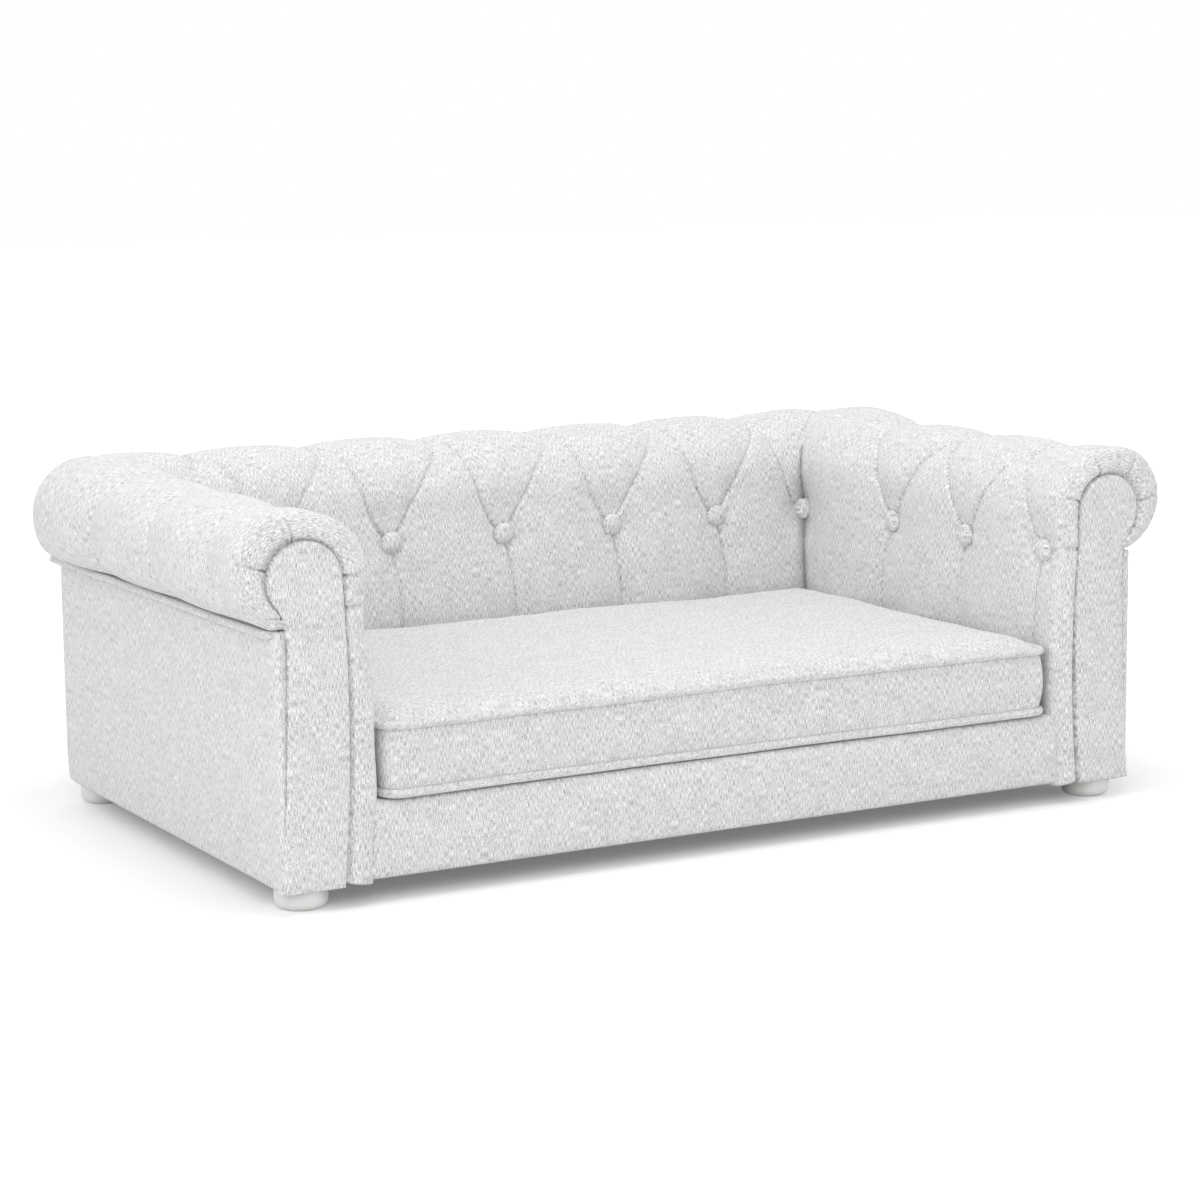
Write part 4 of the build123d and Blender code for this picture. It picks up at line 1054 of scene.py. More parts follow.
class SOFA_OT_finishes(bpy.types.Operator):
    """Make the finishes and give them to the parts kept from the frame"""

    bl_idname = "sofa.finishes"
    bl_label = "Finishes"

    def execute(self, context):
        linen("linen cover")
        linen("linen welt", 0.97)
        plastic("foot plastic", colours().foot)
        timber("plywood board", colours().plywood, (6.0, 60.0, 60.0), plies=True)
        timber("softwood", colours().wood, (8.0, 45.0, 45.0))
        open_cell("open cell foam")
        plain_cloth("deck cloth", (0.60, 0.60, 0.59), (900.0, 900.0, 900.0))
        plain_cloth("dust cloth", colours().dust, (260.0, 260.0, 260.0))
        plain_cloth("zip tape", (0.50, 0.50, 0.50), (300.0, 1200.0, 1200.0))
        plated_metal("zinc plate", (0.62, 0.63, 0.64), 0.38)
        plated_metal("zip plate", (0.55, 0.55, 0.55), 0.30)
        names = {"foam": "open cell foam", "plywood": "plywood board", "timber": "softwood",
                 "foot_plastic": "foot plastic", "steel": "zinc plate", "deck_cloth": "deck cloth",
                 "dust_cloth": "dust cloth", "zip_tape": "zip tape", "zip_metal": "zip plate"}
        for row in frame["record"]["subparts"]:
            finish = names.get(row["material_slot"])
            if finish:
                node = nodes[row["node"]]
                node.data.materials.clear()
                node.data.materials.append(finish_of(finish))
        return {"FINISHED"}


class SOFA_OT_tufting(bpy.types.Operator):
    """Make the tufted back and both tufted arms"""

    bl_idname = "sofa.tufting"
    bl_label = "Tufted Pads"

    def execute(self, context):
        cloth = finish_of("linen cover")
        dress(back_pad(3.1, cloth))
        dress(arm_pad(1, 7.7, cloth))
        dress(arm_pad(-1, 12.3, cloth))
        return {"FINISHED"}


def facing_panel(side, material):
    """Padded panel on the front of one arm."""
    outline = np.array([tuple(p) for p in scroll_outline()])
    head = (half_length - sizes().roll - head_inset, top_z - head_drop)
    spine_foot, foot_inset, neck_inset, weave_shift = 0.026, 0.0295, 0.0360, 5.0
    spine_z = np.clip(outline[:, 1], base_z + spine_foot, head[1])
    spine_x = np.interp(spine_z, [base_z, neck_top, head[1]],
                        [outer_x - foot_inset, outer_x - neck_inset, head[0]])
    spine = np.stack([spine_x, spine_z], axis=-1)
    span = np.linalg.norm(spine - outline, axis=1)[:, None]
    # rings run in from the edge: side wall, rounded edge and a slight crown
    steps = [(0.0, 0.012), (0.0, 0.0046), (0.0003, 0.0032), (0.0009, 0.0021), (0.0018, 0.0013),
             (0.0036, 0.0009), (0.0075, 0.0006), (0.0125, 0.0002), (0.0190, 0.0)]
    bm = bmesh.new()
    rings = []
    for reach, depth in steps:
        ring = outline + (spine - outline) * np.minimum(reach / span, 0.93)
        rings.append([bm.verts.new((x * side, front_y + depth, z)) for x, z in ring])
    for near, far in zip(rings, rings[1:]):
        for i in range(len(outline)):
            bm.faces.new((near[i - 1], near[i], far[i], far[i - 1]))
    bm.faces.new(rings[-1])
    bmesh.ops.recalc_face_normals(bm, faces=bm.faces)
    weave_from_places(bm, lambda place: (place.x + weave_shift, place.z))
    name = "right_arm_facing" if side > 0 else "left_arm_facing"
    piece = place_piece(name, mesh_from(bm, name), material)
    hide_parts("right_facing" if side > 0 else "left_facing")
    return piece


class SOFA_OT_facings(bpy.types.Operator):
    """Make the padded scroll facings on the arm fronts"""

    bl_idname = "sofa.facings"
    bl_label = "Arm Facings"

    def execute(self, context):
        for side in (1, -1):
            dress(facing_panel(side, finish_of("linen cover")))
        return {"FINISHED"}


def outer_edge(heights):
    """How far out the facing's outer side stands at some heights."""
    low = np.array([tuple(p) for p in scroll_outline()])
    high = np.roll(low, -1, axis=0)
    found = []
    for z in heights:
        hit = ((low[:, 1] <= z) != (high[:, 1] <= z)) & (low[:, 1] < neck_top)
        share = (z - low[hit, 1]) / (high[hit, 1] - low[hit, 1])
        found.append((low[hit, 0] + share * (high[hit, 0] - low[hit, 0])).max() if hit.any() else outer_x)
    return np.array(found)


def front_strip(profile_out, heights, inset):
    """Cloth from the facing's outer side out to the arm's edge and round it: places and lengths."""
    end_gap, tuck_depth, least_out, deepest = 0.0005, 0.0060, -0.008, 0.004
    edge = outer_edge(np.clip(heights, base_z + end_gap, neck_top - end_gap))
    columns = []
    lengths = []
    for i in range(5):
        share = i / 4
        x = (edge - inset) * (1 - share) + (outer_x - front_turn) * share
        y = cloth_front_y + tuck_depth * (1 - share) ** 1.5 - np.maximum(profile_out, least_out)
        columns.append(np.stack([x, y, heights], axis=-1))
        lengths.append(x - outer_x + front_turn - front_turn * quarter_turn)
    for i in range(1, 5):
        a = quarter_turn * i / 5
        reach = np.maximum(front_turn + profile_out, 0)
        sunk = np.maximum(-front_turn - profile_out, 0)
        x = outer_x - front_turn + reach * math.sin(a) - sunk * math.sin(a)
        y = cloth_front_y + front_turn - reach * math.cos(a) + np.minimum(sunk, deepest) * math.cos(a)
        columns.append(np.stack([x, y, heights], axis=-1))
        lengths.append(np.full(len(x), front_turn * (a - quarter_turn)))
    return np.stack(columns, axis=1), np.stack(lengths, axis=1)


def outside_path(count_side, count_corner, count_back):
    """Plan of the outside cloth, from the right arm's front round the back to the left arm's front."""
    x, y, start = outer_x, outer_y, cloth_front_y + front_turn
    radius = corner_rounding
    side = [(y - radius - start) * i / count_side for i in range(count_side + 1)]
    points = [(x, start + step, 1.0, 0.0) for step in side]
    for centre, turn in ((x - radius, 0.0), (radius - x, quarter_turn)):
        for angle in quarter_angles(count_corner):
            along_x, along_y = math.cos(turn + angle), math.sin(turn + angle)
            points.append((centre + radius * along_x, y - radius + radius * along_y, along_x, along_y))
        if not turn:
            back = [(x - radius) * (1 - 2 * i / count_back) for i in range(1, count_back + 1)]
            points += [(step, y, 0.0, 1.0) for step in back]
    points += [(-x, y - radius - step, -1.0, 0.0) for step in side[1:]]
    return np.array(points)


class SOFA_OT_outside(bpy.types.Operator):
    """Make the cloth stretched over the outside of the arms and the back"""

    bl_idname = "sofa.outside"
    bl_label = "Outside Cloth"

    def execute(self, context):
        path = outside_path(90, 6, 150)
        below_top, hem_depth, hem_run, hem_drop = 0.1018, 0.022, 0.016, 0.0006
        rounding, tuck_depth, tuck_rise, under_facing = 0.006, 0.006, 0.0015, 0.003
        crown_height, crown_reach = 0.0020, 0.06
        ripple_height, ripple_size, ripple_reach = 0.0011, 0.07, 0.03
        corner_pull, pull_width, pull_rise = 0.0018, 0.012, 0.022
        weave_shift = 9.0
        lower, upper = base_z, top_z - below_top
        low = lower + rounding
        count = 36
        profile = [(-hem_depth + hem_run * i / 4, lower - hem_drop) for i in range(4)]
        profile += [(-rounding + rounding * math.sin(a), low - rounding * math.cos(a))
                    for a in quarter_angles(6)]
        profile += [(0.0, low + (upper - low) * i / count) for i in range(1, count + 1)]
        profile += [(-tuck_depth, upper + tuck_rise)]
        profile = np.array(profile)
        length = lengths_along(path[:, :2])
        rise = lengths_along(profile)
        plan = path[None, :, :]
        out = profile[:, None, 0]
        up = profile[:, None, 1]
        share = np.clip((up - low) / (upper - low), 0, 1)
        corner = np.abs(np.abs(path[:, 2]) * np.abs(path[:, 3])) > 1e-6
        gap = np.full(len(path), 1.0)
        corner_at = length[corner]
        for spot in (corner_at[:6].mean(), corner_at[6:].mean()):
            gap = np.minimum(gap, np.abs(length - spot))
        ends = np.minimum(np.minimum(length, length[-1] - length), gap)
        crown = crown_height * np.sin(math.pi * share) * np.clip(ends[None, :] / crown_reach, 0, 1)
        places = np.stack([plan[..., 0] + plan[..., 2] * (out + crown),
                           plan[..., 1] + plan[..., 3] * (out + crown),
                           np.repeat(up, len(path), axis=1)], axis=-1)
        ripple = softness(places, 21.0, ripple_height, ripple_size) * share
        ripple = ripple * np.clip(ends[None, :] / ripple_reach, 0.15, 1)
        places[..., 0] += plan[..., 2] * ripple
        places[..., 1] += plan[..., 3] * ripple
        # the lower rear corners are pulled in
        pull = np.exp(-(gap / pull_width) ** 2)[None, :] * np.clip(1 - (up - lower) / pull_rise, 0, 1)
        places[..., 0] -= plan[..., 2] * corner_pull * pull
        places[..., 1] -= plan[..., 3] * corner_pull * pull
        strip, strip_length = front_strip(profile[:, 0], profile[:, 1], under_facing)
        other = strip[:, ::-1].copy()
        other[..., 0] *= -1
        places = np.concatenate([strip, places, other], axis=1)
        run = np.concatenate([strip_length, np.repeat(length[None, :], len(profile), axis=0),
                              length[-1] - strip_length[:, ::-1]], axis=1)
        weave = np.stack([run, spread(rise, run.shape[1])], axis=-1) + weave_shift
        mesh = cloth_grid("outside_cloth", places, weave)
        merge_doubles(mesh)
        piece = place_piece("outside_cloth", mesh, finish_of("linen cover"))
        thicken(piece)
        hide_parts("left_outside_panel", "right_outside_panel", "rear_outside_panel")
        dress(piece)
        return {"FINISHED"}


class SOFA_OT_border(bpy.types.Operator):
    """Make the padded border below the cushion"""

    bl_idname = "sofa.border"
    bl_label = "Front Border"

    def execute(self, context):
        behind_facing, foot_gap, top_gap, set_back = 0.0075, 0.002, 0.0005, 0.0045
        hem_depth, top_run, end_turn = 0.014, 0.009, 0.004
        bump_height, bump_size, weave_shift = 0.0009, 0.05, 14.0
        top_half = sizes().seat_half + behind_facing
        foot_half = top_half + sizes().flare
        lower, upper = base_z + foot_gap, seat_z - top_gap
        front = front_y + set_back
        across = 220
        rounding, tuck_depth, bulge_height = 0.007, 0.002, 0.0022
        low, high = lower + rounding, upper - rounding
        turn = [(rounding * math.sin(a), rounding * math.cos(a)) for a in quarter_angles(5)]
        profile = [(hem_depth - rounding * i / 4, lower) for i in range(5)]
        profile += [(rounding - step, low - rise) for step, rise in turn]
        profile += [(0.0, low + (upper - lower - 2 * rounding) * i / 15) for i in range(1, 16)]
        profile += [(rounding - rise, high + step) for step, rise in turn]
        profile += [(rounding + top_run * i / 5, upper) for i in range(1, 6)]
        profile = np.array(profile)
        share = (profile[:, 1] - lower) / (upper - lower)
        half = foot_half + (top_half - foot_half) * share
        u = np.linspace(-1, 1, across + 1)
        x = half[:, None] * u[None, :]
        z = spread(profile[:, 1], across + 1)
        edge = np.clip((1 - np.abs(u)) * foot_half / end_turn, 0, 1)[None, :]
        tuck = tuck_depth * (1 - np.sqrt(1 - (1 - edge) ** 2))
        bulge = bulge_height * np.sin(math.pi * share)[:, None] * edge
        y = front + profile[:, :1] + tuck - bulge
        places = np.stack([x, y, z], axis=-1)
        places[..., 1] -= softness(places, 33.0, bump_height, bump_size) * np.sin(math.pi * share)[:, None]
        rise = lengths_along(profile)
        weave = np.stack([x + weave_shift, spread(rise, across + 1)], axis=-1)
        mesh = cloth_grid("front_border_cloth", places, weave)
        merge_doubles(mesh)
        piece = place_piece("front_border_cloth", mesh, finish_of("linen cover"))
        thicken(piece)
        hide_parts("front_border")
        dress(piece)
        return {"FINISHED"}


def tube(name, path, normals, radius, closed, weave_shift):
    """Piping: a round cord covered in cloth, along a path, with the path's outward directions."""
    sides = 14
    ahead = np.roll(path, -1, axis=0) - np.roll(path, 1, axis=0)
    if not closed:
        ahead[0] = path[1] - path[0]
        ahead[-1] = path[-1] - path[-2]
    ahead /= np.linalg.norm(ahead, axis=1)[:, None]
    normals = normals - ahead * (normals * ahead).sum(axis=1)[:, None]
    normals /= np.linalg.norm(normals, axis=1)[:, None]
    across = np.cross(ahead, normals)
    angle = np.linspace(0, 2 * math.pi, sides + 1)
    ring = normals[None] * np.cos(angle)[:, None, None] + across[None] * np.sin(angle)[:, None, None]
    places = path[None] + ring * radius
    length = np.concatenate([[0], np.cumsum(np.linalg.norm(np.diff(path, axis=0), axis=1))])
    # the cloth of piping is cut on the slant
    along = np.repeat(length[None, :], sides + 1, axis=0) + weave_shift
    around = spread(angle * radius, len(path))
    weave = np.stack([(along + around) * slant, (around - along) * slant], axis=-1)
    if closed:
        places = np.concatenate([places, places[:, :1]], axis=1)
        weave = np.concatenate([weave, weave[:, :1]], axis=1)
    mesh = cloth_grid(name, places, weave)
    with editing(mesh) as bm:
        bmesh.ops.remove_doubles(bm, verts=bm.verts, dist=0.00001)
        bmesh.ops.holes_fill(bm, edges=[e for e in bm.edges if e.is_boundary], sides=sides + 2)
        bmesh.ops.recalc_face_normals(bm, faces=bm.faces)
    return place_piece(name, mesh, finish_of("linen welt"))


class SOFA_OT_welts(bpy.types.Operator):
    """Make the piping under the rolls"""

    bl_idname = "sofa.welts"
    bl_label = "Roll Piping"

    def execute(self, context):
        step, past_end, bend_length, bend_depth = 0.004, 0.004, 0.012, 0.006
        wave_scale, wave_height, sag, sway, stand_off = 22.0, 0.0011, 0.0022, 0.0005, 0.0006
        for name in ("right_roll_welt", "left_roll_welt", "rear_roll_welt"):
            low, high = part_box(name)
            middle = (low + high) / 2
            radius = (high.z - low.z) / 2
            rear = name.startswith("rear")
            if rear:
                start = Vector((low.x - past_end, middle.y, middle.z))
                stop = Vector((high.x + past_end, middle.y, middle.z))
                outward = np.array([0.0, 1.0, 0.0])
            else:
                start = Vector((middle.x, low.y, middle.z))
                stop = Vector((middle.x, high.y + past_end, middle.z))
                outward = np.array([math.copysign(1.0, middle.x), 0.0, 0.0])
            count = int((stop - start).length / step)
            path = np.array([tuple(start.lerp(stop, i / count)) for i in range(count + 1)])
            wave = np.array([noise.noise(Vector(tuple(p * wave_scale))) for p in path])
            path[:, 2] += wave_height * wave - sag
            path += outward * (sway * wave)[:, None] + outward * stand_off
            if not rear:
                # the front end bends in behind the facing
                inward = np.clip(1 - (path[:, 1] - path[0, 1]) / bend_length, 0, 1) ** 2
                path -= outward * (bend_depth * inward)[:, None]
            normals = np.repeat([outward], len(path), axis=0)
            piece = tube(name + "_piping", path, normals, radius * 1.25, False, 3.0)
            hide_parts(name)
            dress(piece)
        return {"FINISHED"}


def covered_buttons(name, spots):
    """Covered buttons: a domed cap, a rolled rim and small tucks where the cloth goes under."""
    bm = bmesh.new()
    radius = 0.0115
    tuck_height, tuck_start, tuck_run = 0.00022, 0.007, 0.004
    profile = [(0.0, 0.0046), (0.0030, 0.0045), (0.0058, 0.0040), (0.0082, 0.0031), (0.0100, 0.0019),
               (0.0111, 0.0005), (radius, -0.0011), (0.0111, -0.0027), (0.0096, -0.0038)]
    for place, facing in spots:
        turn = Vector((0, 0, 1)).rotation_difference(Vector(facing)).to_matrix().to_4x4()
        verts = [bm.verts.new((r, 0, z)) for r, z in profile]
        edges = [bm.edges.new(pair) for pair in zip(verts, verts[1:])]
        bmesh.ops.spin(bm, geom=verts + edges, cent=(0, 0, 0), axis=(0, 0, 1), angle=2 * math.pi, steps=40,
                       use_merge=True)
        fresh = [v for v in bm.verts if not v.tag]
        for v in fresh:
            reach = math.hypot(v.co.x, v.co.y)
            angle = math.atan2(v.co.y, v.co.x)
            ripple = tuck_height * math.sin(13 * angle + place[0] * 50)
            v.co.z += ripple * max(0.0, (reach - tuck_start) / tuck_run)
            v.tag = True
        bmesh.ops.transform(bm, verts=fresh, matrix=Matrix.Translation(Vector(place)) @ turn)
    bmesh.ops.remove_doubles(bm, verts=bm.verts, dist=0.00005)
    bmesh.ops.holes_fill(bm, edges=[e for e in bm.edges if e.is_boundary], sides=50)
    bmesh.ops.recalc_face_normals(bm, faces=bm.faces)
    weave_from_places(bm, lambda place: (place.x * 0.9 + place.y * 0.5 + 7.0, place.z))
    return place_piece(name, mesh_from(bm, name), finish_of("linen welt"))


class SOFA_OT_buttons(bpy.types.Operator):
    """Make the covered buttons in the tufts"""

    bl_idname = "sofa.buttons"
    bl_label = "Buttons"

    def execute(self, context):
        size = sizes()
        arm_ys, arm_z, back_xs, back_z = button_rows()
        cap_height = 0.0048
        sunk = size.button_sink - cap_height
        for side, name in ((1, "right_arm_buttons"), (-1, "left_arm_buttons")):
            spots = [((side * (size.seat_half + sunk), y, arm_z), (-side, 0, 0)) for y in arm_ys]
            piece = covered_buttons(name.replace("buttons", "covered_buttons"), spots)
            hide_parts(name)
            dress(piece)
        y = size.back_inner - float(lean(np.array(back_z))) + sunk
        spots = [((x, y, back_z), (0, -1, 0)) for x in back_xs]
        corner = size.seat_half + sunk
        spots += [((side * corner, y, back_z), (-side * slant, -slant, 0)) for side in (-1, 1)]
        piece = covered_buttons("back_covered_buttons", spots)
        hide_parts("back_buttons")
        dress(piece)
        return {"FINISHED"}


# Loose cushion


# Points of the cushion's plan on a long side, on an end and on a corner
long_count, end_count, corner_count = 170, 100, 14


def cushion_plan(inset):
    """Closed plan of the cushion with rounded corners and drawn-in sides, with outward directions."""
    stretch, corner_radius, least_radius, side_draw = 0.0006, 0.018, 0.004, 0.0042
    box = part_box("cushion_top_piping")
    half_x = box[1].x + stretch - inset
    half_y = (box[1].y - box[0].y) / 2 - inset
    middle = (box[1].y + box[0].y) / 2
    radius = min(max(corner_radius - inset * 0.35, least_radius), half_y)
    end, side = half_y - radius, half_x - radius
    lines = [((half_x, -end), (half_x, end), end_count), ((side, half_y), (-side, half_y), long_count),
             ((-half_x, end), (-half_x, -end), end_count), ((-side, -half_y), (side, -half_y), long_count)]
    centres = [(side, end), (-side, end), (-side, -end), (side, -end)]
    points = []
    for k, ((start, stop, count), centre) in enumerate(zip(lines, centres)):
        start, stop, centre = Vector(start), Vector(stop), Vector(centre)
        run = (stop - start).normalized()
        out = Vector((run.y, -run.x))
        depth = min(side_draw, half_y * 0.1)
        for i in range(count):
            draw = math.sin(math.pi * i / count)
            reach = depth * draw
            if k == 1:
                # the zip holds the rear side straight
                reach = depth * 0.62 * min(1.0, draw / 0.5)
            points.append((start.lerp(stop, i / count) - out * reach, out))
        for i in range(corner_count):
            angle = k * quarter_turn + i / corner_count * quarter_turn
            out = Vector((math.cos(angle), math.sin(angle)))
            points.append((centre + out * radius, out))
    return np.array([(spot.x, spot.y + middle, out.x, out.y) for spot, out in points])


def cushion_wave(plan, seed, amount, scale):
    """Slow rise and fall of the piping round the cushion."""
    return amount * np.array([noise.noise(Vector((p[0] * scale, p[1] * scale, seed))) for p in plan])


class SOFA_OT_cushion(bpy.types.Operator):
    """Make the loose boxed cushion and its piping"""

    bl_idname = "sofa.cushion"
    bl_label = "Seat Cushion"

    def execute(self, context):
        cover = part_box("seat_cushion")
        top_box, low_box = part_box("cushion_top_piping"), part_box("cushion_bottom_piping")
        high = (top_box[0].z + top_box[1].z) / 2
        low = (low_box[0].z + low_box[1].z) / 2
        radius = (top_box[1].z - top_box[0].z) / 2
        crown = cover[1].z - high
        half_depth = (top_box[1].y - top_box[0].y) / 2
        rim = radius * 1.8
        swell = 0.0050
        under_crown, crown_rise, crown_share, seam_drop = 0.0035, 0.0006, 0.050, 0.0005
        slow_height, slow_size, fast_height, fast_size = 0.0022, 0.10, 0.0009, 0.03
        dent_depth, dent_size, soft_start, lowest_soft = 0.0016, 0.035, 0.004, -0.0009
        top_shift, side_shift = 20.0, 25.0
        plan = cushion_plan(radius)
        columns = len(plan)
        wave_high = cushion_wave(plan, seed=1.3, amount=0.0022, scale=9.0)
        wave_low = cushion_wave(plan, seed=6.1, amount=0.0009, scale=8.0)
        rings = []

        def ring(inset, z):
            outline = cushion_plan(inset)
            rings.append(np.stack([outline[:, 0], outline[:, 1], np.full(columns, 0.0) + z], axis=-1))

        # underside, from the middle out
        under = [1.0, 0.8, 0.6, 0.4, 0.25, 0.14, 0.07, 0.03, 0.012]
        for share in under:
            ring(radius + (half_depth - radius) * share, cover[0].z + under_crown * math.exp(-share * 22))
        # boxing between the pipings
        steps = 18
        for i in range(steps + 1):
            share = i / steps
            bulge = swell * math.sin(math.pi * share) ** 0.5
            ring(rim - bulge, (low + wave_low) * (1 - share) + (high + wave_high) * share)
        # crowned top
        over = [0.006, 0.016, 0.03, 0.05, 0.075, 0.105, 0.14, 0.18, 0.225, 0.27, 0.32, 0.37, 0.42, 0.47, 0.52,
                0.58, 0.64, 0.70, 0.76, 0.82, 0.88, 0.94, 1.0]
        for share in over:
            lift = (crown + crown_rise) * (1 - math.exp(-share / crown_share))
            level = high - seam_drop + lift + wave_high * max(0.0, 1 - share * 4)
            ring(rim + (half_depth - rim) * share, level)
        places = np.stack(rings, axis=0)
        soft = softness(places, 44.0, slow_height, slow_size) + softness(places, 47.0, fast_height, fast_size)
        upper = np.clip((places[..., 2] - high) / soft_start, 0, 1)
        places[..., 2] += np.maximum(soft, lowest_soft) * upper
        side_rows = slice(len(under), len(under) + steps + 1)
        dent = softness(places[side_rows] * np.array([1, 1, 0.6]), 52.0, dent_depth, dent_size)
        profile = np.sin(np.linspace(0, math.pi, steps + 1))[:, None]
        # the rear side stays flat behind the zip
        rear = np.zeros(columns)
        first = end_count + corner_count
        along = np.arange(long_count) / long_count
        rear[first:first + long_count] = np.clip(np.minimum(along, 1 - along) / 0.1, 0, 1)
        places[side_rows, :, 1] -= rear[None, :] * swell * profile ** 0.5
        dent = dent * (1 - rear)[None, :]
        places[side_rows, :, 0] += plan[None, :, 2] * dent * profile
        places[side_rows, :, 1] += plan[None, :, 3] * dent * profile
        weave = np.stack([places[..., 0] + top_shift, places[..., 1]], axis=-1)
        weave[side_rows, :, 0] = lengths_along(plan[:, :2])[None, :] + side_shift
        weave[side_rows, :, 1] = places[side_rows, :, 2]
        places = np.concatenate([places, places[:, :1]], axis=1)
        weave = np.concatenate([weave, weave[:, :1]], axis=1)
        mesh = cloth_grid("cushion_cover", places, weave)
        with editing(mesh) as bm:
            bmesh.ops.remove_doubles(bm, verts=bm.verts, dist=0.0001)
            bmesh.ops.recalc_face_normals(bm, faces=bm.faces)
            layer = bm.loops.layers.uv["weave"]
            for face in bm.faces:
                if abs(face.normal.z) > 0.9:
                    for loop in face.loops:
                        loop[layer].uv = (loop.vert.co.x + top_shift, loop.vert.co.y)
        piece = place_piece("cushion_cover", mesh, finish_of("linen cover"))
        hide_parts("seat_cushion")
        dress(piece, "cushion")
        for name, level, wave, shift in (("cushion_top_piping", high, wave_high, 30.0),
                                         ("cushion_bottom_piping", low, wave_low, 36.0)):
            path = np.stack([plan[:, 0], plan[:, 1], level + wave], axis=-1)
            normals = np.stack([plan[:, 2], plan[:, 3], np.zeros(columns)], axis=-1)
            cord = tube(name + "_cord", path, normals, radius * 1.12, True, shift)
            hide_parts(name)
            dress(cord, "cushion")
        return {"FINISHED"}


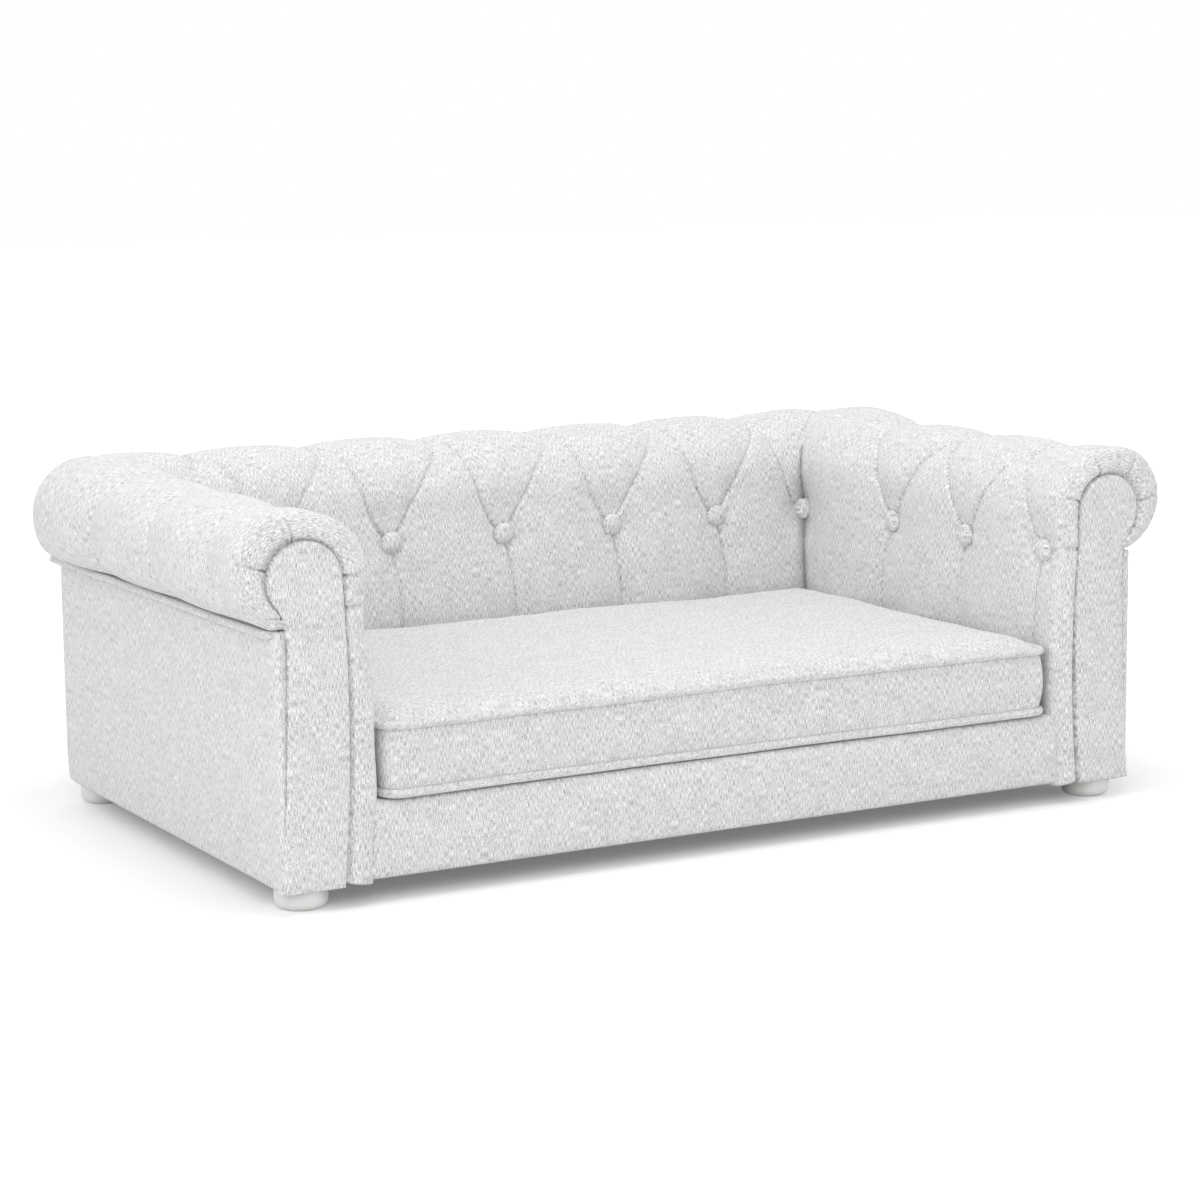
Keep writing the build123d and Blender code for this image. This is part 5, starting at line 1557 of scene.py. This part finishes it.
class SOFA_OT_stage(bpy.types.Operator):
    """Make the floor, the light and the camera"""

    bl_idname = "sofa.stage"
    bl_label = "Stage"

    def execute(self, context):
        scene = context.scene
        bm = bmesh.new()
        bmesh.ops.create_grid(bm, x_segments=2, y_segments=2, size=14.0)
        floor = bpy.data.objects.new("floor", mesh_from(bm, "floor"))
        scene.collection.objects.link(floor)
        # the floor takes shadows near the sofa and runs out to white further off
        finish = new_finish("white floor")
        finish.surface({"Base Color": (0.86, 0.86, 0.86, 1.0), "Roughness": 0.9})
        reach = finish.add("ShaderNodeVectorMath", operation="LENGTH")
        finish.feed(finish.place(), reach.inputs[0])
        far = finish.ramp(reach.outputs["Value"], 0.8, 3.2)
        lift = finish.maths("ADD", finish.maths("MULTIPLY", far, 0.8), 0.16)
        glow = finish.add("ShaderNodeEmission")
        finish.feed((1.0, 1.0, 1.0, 1.0), glow.inputs["Color"])
        finish.feed(finish.maths("MULTIPLY", finish.seen_rays(), lift), glow.inputs["Strength"])
        both = finish.add("ShaderNodeAddShader")
        finish.feed(finish.tree.nodes["Principled BSDF"].outputs["BSDF"], both.inputs[0])
        finish.feed(glow.outputs["Emission"], both.inputs[1])
        finish.feed(both.outputs["Shader"], finish.tree.nodes["Material Output"].inputs["Surface"])
        floor.data.materials.append(finish.owner)
        world = bpy.data.worlds.new("studio")
        scene.world = world
        sky = Nodes(world)
        background = sky.tree.nodes["Background"]
        sky.feed((1.0, 1.0, 1.0, 1.0), background.inputs["Color"])
        mix = sky.add("ShaderNodeMix")
        sky.feed(sky.seen_rays(), mix.inputs["Factor"])
        sky.feed(0.68, mix.inputs["A"])
        sky.feed(1.0, mix.inputs["B"])
        sky.feed(mix.outputs["Result"], background.inputs["Strength"])
        lamps = (("key", (-1.4, -2.9, 1.9), 2.0, 29.0), ("left", (-3.0, -0.6, 1.5), 2.0, 22.0),
                 ("fill", (2.6, -1.6, 1.2), 2.4, 8.0), ("top", (0.0, -0.3, 2.2), 1.2, 15.0),
                 ("rear", (0.6, 2.8, 1.9), 2.2, 12.0))
        aim = Vector((0, 0, 0.15))
        for name, place, size, power in lamps:
            light = bpy.data.lights.new(name, "AREA")
            light.shape = "DISK"
            light.size = size
            light.energy = power
            lamp = bpy.data.objects.new(name, light)
            lamp.location = place
            lamp.rotation_mode = "QUATERNION"
            lamp.rotation_quaternion = (aim - Vector(place)).to_track_quat("-Z", "Y")
            scene.collection.objects.link(lamp)
        camera = bpy.data.cameras.new("camera")
        camera.lens = 91.357
        camera.sensor_width = 36.0
        camera.clip_end = 100.0
        # stands where a camera fitted to the photo stood
        view = bpy.data.objects.new("camera", camera)
        back = Vector((-0.48121, -0.86259, 0.15612))
        right = Vector((0.87330, -0.48718, 0.0))
        up = Vector((0.07606, 0.13634, 0.98774))
        roll = math.radians(-0.583)
        right_rolled = right * math.cos(roll) + up * math.sin(roll)
        up_rolled = up * math.cos(roll) - right * math.sin(roll)
        turn = Matrix((right_rolled, up_rolled, back)).transposed()
        view.matrix_world = Matrix.Translation((-1.4500, -2.6334, 0.6723)) @ turn.to_4x4()
        scene.collection.objects.link(view)
        scene.camera = view
        scene.view_settings.view_transform = "Standard"
        return {"FINISHED"}


class SOFA_PT_panel(bpy.types.Panel):
    """Sizes, colours and pieces of the sofa"""

    bl_label = "Pet Sofa"
    bl_idname = "SOFA_PT_panel"
    bl_space_type = "VIEW_3D"
    bl_region_type = "UI"
    bl_category = "Pet Sofa"

    def draw(self, context):
        layout = self.layout
        for group in (context.scene.sofa_sizes, context.scene.sofa_colours):
            box = layout.box()
            for name in group.__annotations__:
                box.prop(group, name)
        for operator in operators:
            layout.operator(operator.bl_idname)


operators = (SOFA_OT_stage, SOFA_OT_finishes, SOFA_OT_tufting, SOFA_OT_facings, SOFA_OT_outside,
             SOFA_OT_border, SOFA_OT_welts, SOFA_OT_buttons, SOFA_OT_cushion)
classes = (SofaSizes, SofaColours, *operators, SOFA_PT_panel)


def register():
    for item in classes:
        bpy.utils.register_class(item)
    bpy.types.Scene.sofa_sizes = bpy.props.PointerProperty(type=SofaSizes)
    bpy.types.Scene.sofa_colours = bpy.props.PointerProperty(type=SofaColours)


def unregister():
    del bpy.types.Scene.sofa_colours
    del bpy.types.Scene.sofa_sizes
    for item in reversed(classes):
        bpy.utils.unregister_class(item)


def main():
    register()
    bpy.ops.sofa.stage()
    bpy.ops.sofa.finishes()
    bpy.ops.sofa.tufting()
    bpy.ops.sofa.facings()
    bpy.ops.sofa.outside()
    bpy.ops.sofa.border()
    bpy.ops.sofa.welts()
    bpy.ops.sofa.buttons()
    bpy.ops.sofa.cushion()


if __name__ == "__main__":
    main()
